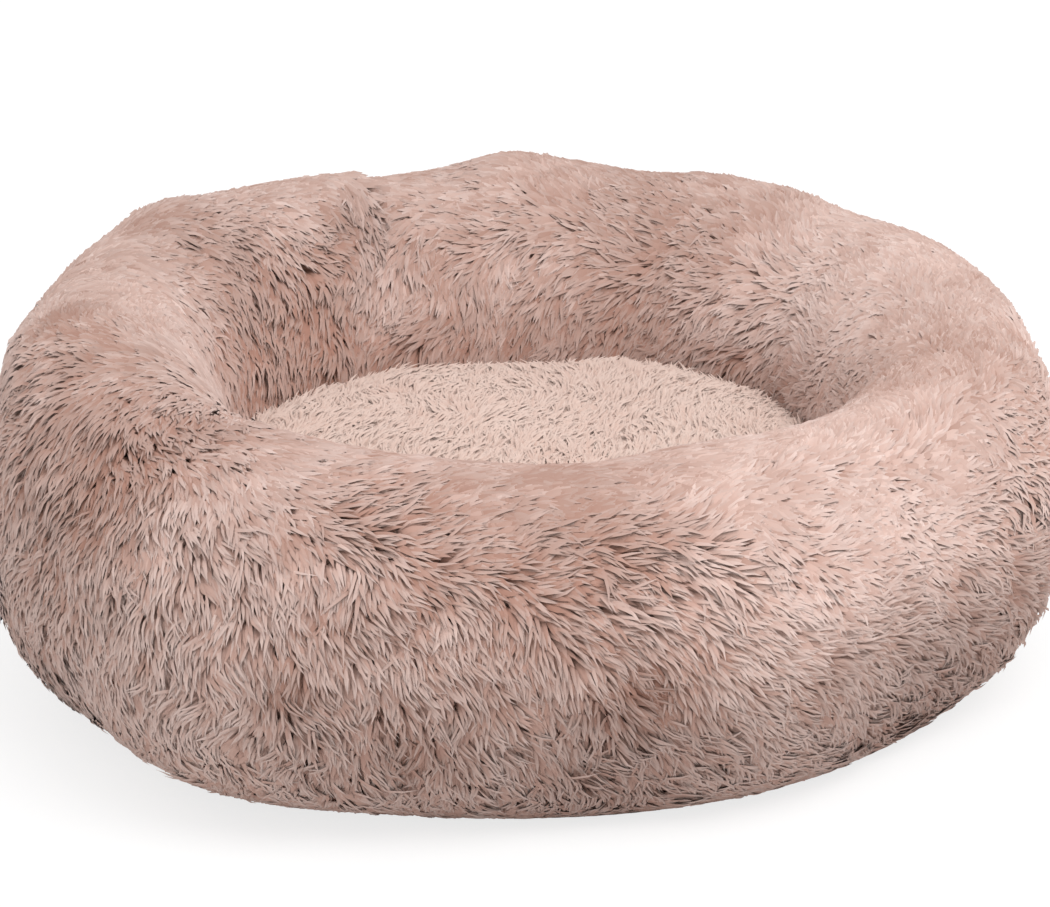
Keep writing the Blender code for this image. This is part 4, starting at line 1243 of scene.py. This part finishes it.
def cloth_plate(name, side):
    """One half of the base cloth, with the sag between its dots."""
    outline = half_round(side)
    flat = [Vector(place) for place in outline + inside_half(side)]
    plan, _, triangles, *_ = delaunay_2d_cdt(flat, [], [list(range(len(outline)))], 1, 1e-7)
    plan = np.array([tuple(place) for place in plan])
    count = len(plan)
    sag = sagged(plan, dot_places(side))
    heights = [CLOTH_BOTTOM - sag, CLOTH_TOP - sag]
    points = np.concatenate([np.column_stack([plan, height]) for height in heights])
    sides = {(face[i - 1], face[i]) for face in triangles for i in range(3)}
    rim = [(a, b) for a, b in sides if (b, a) not in sides]
    faces = [tuple(face) for face in triangles]
    faces += [tuple(corner + count for corner in reversed(face)) for face in triangles]
    faces += [(b, a, a + count, b + count) for a, b in sorted(rim)]
    mesh = bpy.data.meshes.new(name)
    mesh.from_pydata(points.tolist(), [], faces)
    return turned_out(mesh)


def woven(tree, pitch, turn=0.0):
    """Height of a plain weave: threads that pass over and under each other."""
    turned = place_node(tree, turn=turn)
    threads = []
    for direction in ("X", "Y"):
        wave = tree.nodes.new("ShaderNodeTexWave")
        wave.bands_direction = direction
        wave.inputs["Scale"].default_value = 2 * pi / (20.0 * pitch)
        wave.inputs["Distortion"].default_value = 0.6
        wave.inputs["Detail Scale"].default_value = 0.4
        joined(tree, turned, wave.inputs["Vector"])
        threads.append(wave.outputs["Fac"])
    over = tree.nodes.new("ShaderNodeTexChecker")
    over.inputs["Scale"].default_value = 1.0 / pitch
    over.inputs["Color1"].default_value = BLACK
    over.inputs["Color2"].default_value = WHITE
    joined(tree, turned, over.inputs["Vector"])
    blend = tree.nodes.new("ShaderNodeMix")
    joined(tree, over.outputs["Fac"], blend.inputs["Factor"])
    joined(tree, threads[0], blend.inputs["A"])
    joined(tree, threads[1], blend.inputs["B"])
    return blend.outputs["Result"]


def cloth_finish(name, dark, light, pitch, relief, turn=0.0):
    """Woven cloth: the weave's own shading, with threads that vary a little and a worn
    cast over larger patches."""
    made, tree, shader = shader_of(name, 0.85)
    weave = woven(tree, pitch, turn)
    mixed = tree.nodes.new("ShaderNodeMix")
    mixed.inputs["Factor"].default_value = 0.35
    joined(tree, weave, mixed.inputs["A"])
    joined(tree, pattern(tree, "Noise", 30.0, Detail=5.0), mixed.inputs["B"])
    coloured(tree, shader, mixed.outputs["Result"], ((0.10, dark), (0.85, light)))
    raised(tree, shader, weave, relief)
    return made


oxford = cloth_finish("oxford_cloth", OXFORD_DARK, OXFORD_LIGHT, OXFORD_THREAD, relief=0.00022)
for end, side in SIDES:
    name = "base_cloth_" + end + "_weave"
    cloth = ride_on_bed(name, cloth_plate(name, side), oxford)
    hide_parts("base_cloth_" + end)


# Grip dots: drops of soft dark rubber, printed on the base cloth through a stencil so
# that the bed doesn't slide. Each is a low dome with a flat foot.
DOT_PROFILE = (  # radius and height above the floor
    (0.0036, CLOTH_BOTTOM + 0.0003),
    (DOT_RADIUS, CLOTH_BOTTOM + 0.0001),
    (0.0044, 0.0010),
    (0.0040, 0.0005),
    (0.0033, 0.0002),
    (0.0023, 0.00004),
    (0.0012, 0.0),
)
DOT_SIDES = 24
RUBBER_DARK = (0.055, 0.042, 0.036)
RUBBER_LIGHT = (0.095, 0.075, 0.065)


def tubes_mesh(name, rings, closed=False):
    """Solid tubes, each given as its rings of points: a chain of rings with its two
    ends closed, or one that runs round into itself."""
    count, stations, sides = rings.shape[:3]
    grid = np.arange(count * stations * sides).reshape(count, stations, sides)
    beside = np.roll(grid, -1, axis=2)
    here, there = (grid, np.roll(grid, -1, axis=1)) if closed else (grid[:, :-1], grid[:, 1:])
    here_beside = beside if closed else beside[:, :-1]
    there_beside = np.roll(beside, -1, axis=1) if closed else beside[:, 1:]
    corners = np.stack([here, here_beside, there_beside, there], axis=-1)
    faces = corners.reshape(-1, 4).tolist()
    if not closed:
        faces += grid[:, 0, ::-1].tolist() + grid[:, -1].tolist()
    mesh = bpy.data.meshes.new(name)
    mesh.from_pydata(rings.reshape(-1, 3).tolist(), [], faces)
    return turned_out(mesh)


# printed rubber: dull and nearly even, with a fine grain
rubber = grained_finish(
    "grip_rubber",
    roughness=0.70,
    kind="Noise",
    scale=900.0,
    stops=((0.35, RUBBER_DARK), (0.70, RUBBER_LIGHT)),
    relief=0.00008,
    Detail=4.0,
)
dot_turns = np.linspace(0.0, 2 * pi, DOT_SIDES, endpoint=False)
for end, side in SIDES:
    name = "base_cloth_" + end + "_dots"
    rings = np.array([
        [[(x + r * cos(t), y + r * sin(t), z) for t in dot_turns] for r, z in DOT_PROFILE]
        for x, y in dot_places(side)
    ])
    ride_on_bed(name, tubes_mesh(name, rings), rubber)


# Recess binding: a strip of the same cloth, folded along its length. One leg is sewn
# to the base cloth round the notch, and the other stands up and carries the zip tape.
FLANGE_WIDTH = 0.0060
FOLD_RADIUS = 0.0010  # at the middle of the strip
CORNER_RADIUS = 0.0006
FOLD_STEPS = 6
CORNER_STEPS = 4
END_POINTS = 8  # across the recess's end, on one half
SIDE_POINTS = 80  # along its side
flange_height = CLOTH_BOTTOM - FIT / 3 - BINDING / 2  # the middle of the sewn leg


def binding_section():
    """The strip's section: how far each point lies out from the recess, and how high."""
    middle = BINDING / 2
    path = [(FLANGE_WIDTH, flange_height)]
    for step in range(FOLD_STEPS + 1):
        turn = -pi / 2 - pi / 2 * step / FOLD_STEPS
        out = middle + FOLD_RADIUS + FOLD_RADIUS * cos(turn)
        path.append((out, flange_height + FOLD_RADIUS + FOLD_RADIUS * sin(turn)))
    path.append((middle, tape_high[2]))
    path = np.array(path)
    along = unit(np.gradient(path, axis=0))
    across = np.stack([-along[:, 1], along[:, 0]], axis=-1) * middle
    return np.concatenate([path + across, (path - across)[::-1]])


def recess_route(side):
    """The way round one half of the recess, with the way out from it."""
    places, outward = [], []
    edge = FIT / 2
    inner_x, inner_y = RECESS_HALF - CORNER_RADIUS, RECESS_SIDE - CORNER_RADIUS
    for y in np.linspace(edge, inner_y, END_POINTS):
        places.append((RECESS_HALF, y))
        outward.append((1.0, 0.0))
    for along, start in ((1, 0.0), (-1, 90.0)):
        for step in range(1, CORNER_STEPS + 1):
            turn = radians(start + 90.0 * step / CORNER_STEPS)
            x = along * inner_x + CORNER_RADIUS * cos(turn)
            places.append((x, inner_y + CORNER_RADIUS * sin(turn)))
            outward.append((cos(turn), sin(turn)))
        if along == 1:
            for x in np.linspace(inner_x, -inner_x, SIDE_POINTS)[1:-1]:
                places.append((x, RECESS_SIDE))
                outward.append((0.0, 1.0))
    for y in np.linspace(inner_y, edge, END_POINTS)[1:]:
        places.append((-RECESS_HALF, y))
        outward.append((-1.0, 0.0))
    return np.array(places) * (1, side), np.array(outward) * (1, side)


binding_outline = binding_section()
for end, side in SIDES:
    name = "recess_binding_" + end
    places, outward = recess_route(side)
    plan = places[:, None] + outward[:, None] * binding_outline[None, :, :1]
    heights = np.broadcast_to(binding_outline[None, :, 1:], (*plan.shape[:2], 1))
    rings = np.concatenate([plan, heights], axis=-1)
    binding = ride_on_bed(name, tubes_mesh(name, rings[None]), oxford)


# Base piping: a cotton cord wrapped in brown bias tape and sewn into the seam between
# the fur and the base cloth. It finishes the seam and takes its wear.
PIPING_STATIONS = 720
PIPING_SIDES = 12
PUCKERS = 150  # how often the seam's stitches draw the tape in
PUCKER_DEPTH = 0.00012
PIPING_DARK = (0.200, 0.140, 0.115)
PIPING_LIGHT = (0.400, 0.300, 0.260)
piping_low, piping_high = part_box("base_piping")
piping_radius = (piping_high[2] - piping_low[2]) / 2
piping_ring = piping_high[0] - piping_radius
piping_height = (piping_high[2] + piping_low[2]) / 2
around = np.linspace(0.0, 2 * pi, PIPING_STATIONS, endpoint=False)[:, None]
turns = np.linspace(0.0, 2 * pi, PIPING_SIDES, endpoint=False)[None, :]
puckered = piping_radius - PUCKER_DEPTH * (1.0 + np.sin(PUCKERS * around + 2 * turns)) / 2
reach = piping_ring + puckered * np.cos(turns)
piping_points = np.stack(
    [reach * np.cos(around), reach * np.sin(around), piping_height + puckered * np.sin(turns)],
    axis=-1,
)
piping_tape = cloth_finish(
    "piping_tape", PIPING_DARK, PIPING_LIGHT, pitch=0.0006, relief=0.00015, turn=radians(45.0)
)
piping = ride_on_bed(
    "base_piping_tape",
    tubes_mesh("base_piping_tape", piping_points[None], closed=True),
    piping_tape,
)
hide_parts("base_piping")


# Stitching: lock stitches of brown polyester thread. One row runs round the base just
# inside the piping, one along the recess binding, and two along each zip tape.
THREAD_RADIUS = 0.00022
STITCH_LENGTH = 0.0032
STITCH_GAP = 0.0007
STITCH_START = 0.1  # of a stitch and its gap, before the first stitch
STITCH_SUNK = 0.6  # of the thread's radius, at a stitch's ends
STITCH_ARCH = 1.4  # the same, from its ends to its middle
THREAD_DARK = (0.170, 0.120, 0.098)
THREAD_LIGHT = (0.340, 0.260, 0.225)
STITCH_SIDES = 6
STITCH_POINTS = 6  # along a stitch
BINDING_ROW = 0.6  # how far out its row runs, of the sewn leg's width
SEAM_INSET = 0.0042  # of the row round the base, from the cloth's edge


def stitch_row(places, down):
    """Stitches along a run of places in plan, each arched under a surface at the height
    down, and sunk into it at both ends."""
    steps = np.linalg.norm(np.diff(places, axis=0), axis=-1)
    gone = np.concatenate([[0.0], np.cumsum(steps)])
    count = int(gone[-1] / (STITCH_LENGTH + STITCH_GAP))
    starts = (np.arange(count) + STITCH_START) * gone[-1] / count
    share = np.linspace(0.0, 1.0, STITCH_POINTS)
    marks = starts[:, None] + share[None, :] * STITCH_LENGTH
    x, y = (np.interp(marks, gone, places[:, axis]) for axis in (0, 1))
    arch = STITCH_SUNK - STITCH_ARCH * np.sin(pi * share)
    z = down + THREAD_RADIUS * arch[None, :] + np.zeros_like(x)
    path = np.stack([x, y, z], axis=-1)
    along = unit(np.gradient(path, axis=1))
    across = unit(np.cross(along, (0.0, 0.0, 1.0)))
    upward = np.cross(across, along)
    turns = np.linspace(0.0, 2 * pi, STITCH_SIDES, endpoint=False)
    ring = np.cos(turns)[:, None] * across[:, :, None] + np.sin(turns)[:, None] * upward[:, :, None]
    return path[:, :, None] + THREAD_RADIUS * ring


def thread_finish():
    """Twisted polyester thread, with a slight shine."""
    made, tree, shader = shader_of("sewing_thread", 0.55)
    plies = pattern(tree, "Wave", 900.0, Distortion=1.5)
    plies.node.bands_direction = "DIAGONAL"
    coloured(tree, shader, plies, ((0.15, THREAD_DARK), (0.80, THREAD_LIGHT)))
    raised(tree, shader, plies, 0.00005)
    return made


thread = thread_finish()
seam_turns = np.linspace(0.0, 2 * pi, PIPING_STATIONS)
seam_radius = BASE_RADIUS - SEAM_INSET
seam_row = seam_radius * np.stack([np.cos(seam_turns), np.sin(seam_turns)], axis=-1)
seam_mesh = tubes_mesh("base_seam_stitches", stitch_row(seam_row, CLOTH_BOTTOM))
ride_on_bed("base_seam_stitches", seam_mesh, thread)
for end, side in SIDES:
    places, outward = recess_route(side)
    row = places + outward * FLANGE_WIDTH * BINDING_ROW
    name = "recess_binding_" + end + "_stitches"
    mesh = tubes_mesh(name, stitch_row(row, flange_height - BINDING / 2))
    ride_on_bed(name, mesh, thread)


# Zip tapes: two strips of brown woven polyester tape, drawn together past the stops.
# Each is sewn to the recess binding's upright leg by two rows of stitches.
TAPE_STATIONS = 220
TAPE_RIPPLE = 0.00012
TAPE_SPLIT = 12  # points across a face of the tape
TAPE_ROWS = (0.0105, 0.0132)  # how far out the stitches run
TAPE_MEETS = 0.1345  # past the stops the two tapes are drawn together
TAPE_MEETS_OVER = 0.004
TAPE_EDGE_SHARE = 0.55  # how thick the tape's edge is, and how much its middle adds
TAPE_MIDDLE_SHARE = 0.35
RIPPLE_PITCH = 0.011
RIPPLE_SLANT = 300.0  # radians that a ripple shifts by, for each metre across the tape
RIPPLE_FREE = 0.010  # how far from the coil the tape is free to ripple
ROW_RAISED = 0.2  # how far the stitches' row lies into the tape, of half its thickness
TAPE_DARK = (0.190, 0.132, 0.110)
TAPE_LIGHT = (0.390, 0.285, 0.240)
tape_weave = cloth_finish(
    "zip_tape_weave", TAPE_DARK, TAPE_LIGHT, pitch=0.0005, relief=0.00012, turn=0.6
)
tape_half = (tape_high[2] - tape_low[2]) / 2
tape_middle = (tape_high[2] + tape_low[2]) / 2
tape_x = np.linspace(-tape_high[0], tape_high[0], TAPE_STATIONS)
for end, side in SIDES:
    name = "zip_tape_" + end + "_weave"
    out = np.linspace(tape_low[1], tape_high[1], TAPE_SPLIT)
    edge = np.clip(np.minimum(out - tape_low[1], tape_high[1] - out) / tape_half, 0.0, 1.0)
    thick = tape_half * (TAPE_EDGE_SHARE + TAPE_MIDDLE_SHARE * np.sqrt(edge))
    loop_y = np.concatenate([out, out[::-1]])[None, :]
    loop_z = np.concatenate([-thick, thick[::-1]])
    past_stop = np.clip((np.abs(tape_x) - TAPE_MEETS) / TAPE_MEETS_OVER, 0.0, 1.0)[:, None]
    drawn = (tape_low[1] - FIT / 2) * (tape_high[1] - loop_y) / (tape_high[1] - tape_low[1])
    loop_y = loop_y - drawn * past_stop
    waves = np.sin(tape_x[:, None] * 2 * pi / RIPPLE_PITCH + loop_y * RIPPLE_SLANT)
    ripple = TAPE_RIPPLE / 2 * waves
    ripple = ripple * np.clip((loop_y - tape_low[1]) / RIPPLE_FREE, 0.0, 1.0)
    rings = np.stack(
        [
            np.broadcast_to(tape_x[:, None], ripple.shape),
            side * loop_y,
            tape_middle + loop_z + ripple,
        ],
        axis=-1,
    )
    tape = ride_on_bed(name, tubes_mesh(name, rings[None]), tape_weave)
    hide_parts("zip_tape_" + end)
    row_end = tape_high[0] - STITCH_LENGTH
    row_height = tape_low[2] + tape_half * ROW_RAISED
    rows = [
        stitch_row(np.array([(-row_end, side * y), (row_end, side * y)]), row_height)
        for y in TAPE_ROWS
    ]
    name = "zip_tape_" + end + "_stitches"
    ride_on_bed(name, tubes_mesh(name, np.concatenate(rows)), thread)


# Zip coils: two nylon monofilaments, each wound into a flattened coil and sewn to the
# inner edge of its tape. Their turns mesh along the middle when the zip is shut.
COIL_PITCH = 0.0013
COIL_WIRE = 0.00034  # radius of the monofilament
COIL_TURN_STEPS = 12
COIL_SIDES = 7
COIL_REACH = 0.0006  # how far from the middle line the turns' heads stop
COIL_FLATNESS = 0.8  # below 1 a turn is squarer than a circle
NYLON_DARK = (0.150, 0.105, 0.086)
NYLON_LIGHT = (0.300, 0.215, 0.180)


# drawn nylon: smooth, with faint lines along it and a soft gloss
nylon = grained_finish(
    "zip_nylon",
    roughness=0.38,
    kind="Noise",
    scale=1500.0,
    stops=((0.30, NYLON_DARK), (0.70, NYLON_LIGHT)),
    relief=0.00003,
    stretch=(0.3, 1.0, 1.0),
    Detail=3.0,
)
coil_low, coil_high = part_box("zip_coil_rear")
middle_y = (COIL_REACH + coil_high[1]) / 2
half_y = (coil_high[1] - COIL_REACH) / 2 - COIL_WIRE
middle_z = (coil_low[2] + coil_high[2]) / 2
half_z = (coil_high[2] - coil_low[2]) / 2 - COIL_WIRE
coil_turns = (coil_high[0] - coil_low[0] - 2 * COIL_WIRE) / COIL_PITCH
coil_angles = np.linspace(0.0, 2 * pi * coil_turns, int(coil_turns * COIL_TURN_STEPS) + 1)
for end, side in SIDES:
    name = "zip_coil_" + end + "_turns"
    phase = coil_angles + (pi if side > 0 else 0.0)
    path = np.stack(
        [
            coil_low[0] + COIL_WIRE + COIL_PITCH * coil_angles / (2 * pi),
            side * (middle_y + half_y * signed_power(np.cos(phase), COIL_FLATNESS)),
            middle_z + half_z * signed_power(np.sin(phase), COIL_FLATNESS),
        ],
        axis=-1,
    )
    along = unit(np.gradient(path, axis=0))
    centre_line = np.array([0.0, side * middle_y, middle_z])
    away = (path - centre_line) * (0.0, 1.0, 1.0)
    away = unit(away - (away * along).sum(axis=-1, keepdims=True) * along)
    across = np.cross(along, away)
    turns = np.linspace(0.0, 2 * pi, COIL_SIDES, endpoint=False)[None, :, None]
    wire = COIL_WIRE * (np.cos(turns) * away[:, None] + np.sin(turns) * across[:, None])
    coil = ride_on_bed(name, tubes_mesh(name, (path[:, None] + wire)[None]), nylon)
    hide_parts("zip_coil_" + end)


# Zip metal: the stops are clamped over the ends of the coils, the slider is cast in one
# piece with its bridge and ears, and the tab hangs on the slider's pin. All are zinc
# with a satin nickel plate, which is worn a little brighter in patches.
NICKEL_WORN = (0.700, 0.680, 0.650)
NICKEL_DULL = (0.520, 0.500, 0.470)


def nickel_finish():
    """Satin nickel plate: brighter and duller patches, with fine scratches."""
    made, tree, shader = shader_of("nickel_plate", 0.30)
    shader.inputs["Metallic"].default_value = 1.0
    patches = pattern(tree, "Noise", 260.0, Detail=6.0)
    coloured(tree, shader, patches, ((0.35, NICKEL_DULL), (0.70, NICKEL_WORN)))
    gloss = tree.nodes.new("ShaderNodeMapRange")
    gloss.inputs["To Min"].default_value = 0.40
    gloss.inputs["To Max"].default_value = 0.20
    joined(tree, patches, gloss.inputs["Value"])
    joined(tree, gloss.outputs["Result"], shader.inputs["Roughness"])
    scratches = pattern(tree, "Noise", 1800.0, stretch=(0.08, 1.0, 1.0), Detail=2.0)
    raised(tree, shader, scratches, 0.00001)
    return made


nickel = nickel_finish()
for part in ("top_stop_front", "top_stop_rear", "bottom_stop", "slider", "pull_tab"):
    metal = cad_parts["zip_" + part]
    for plate in metal.material_slots:
        plate.material = nickel
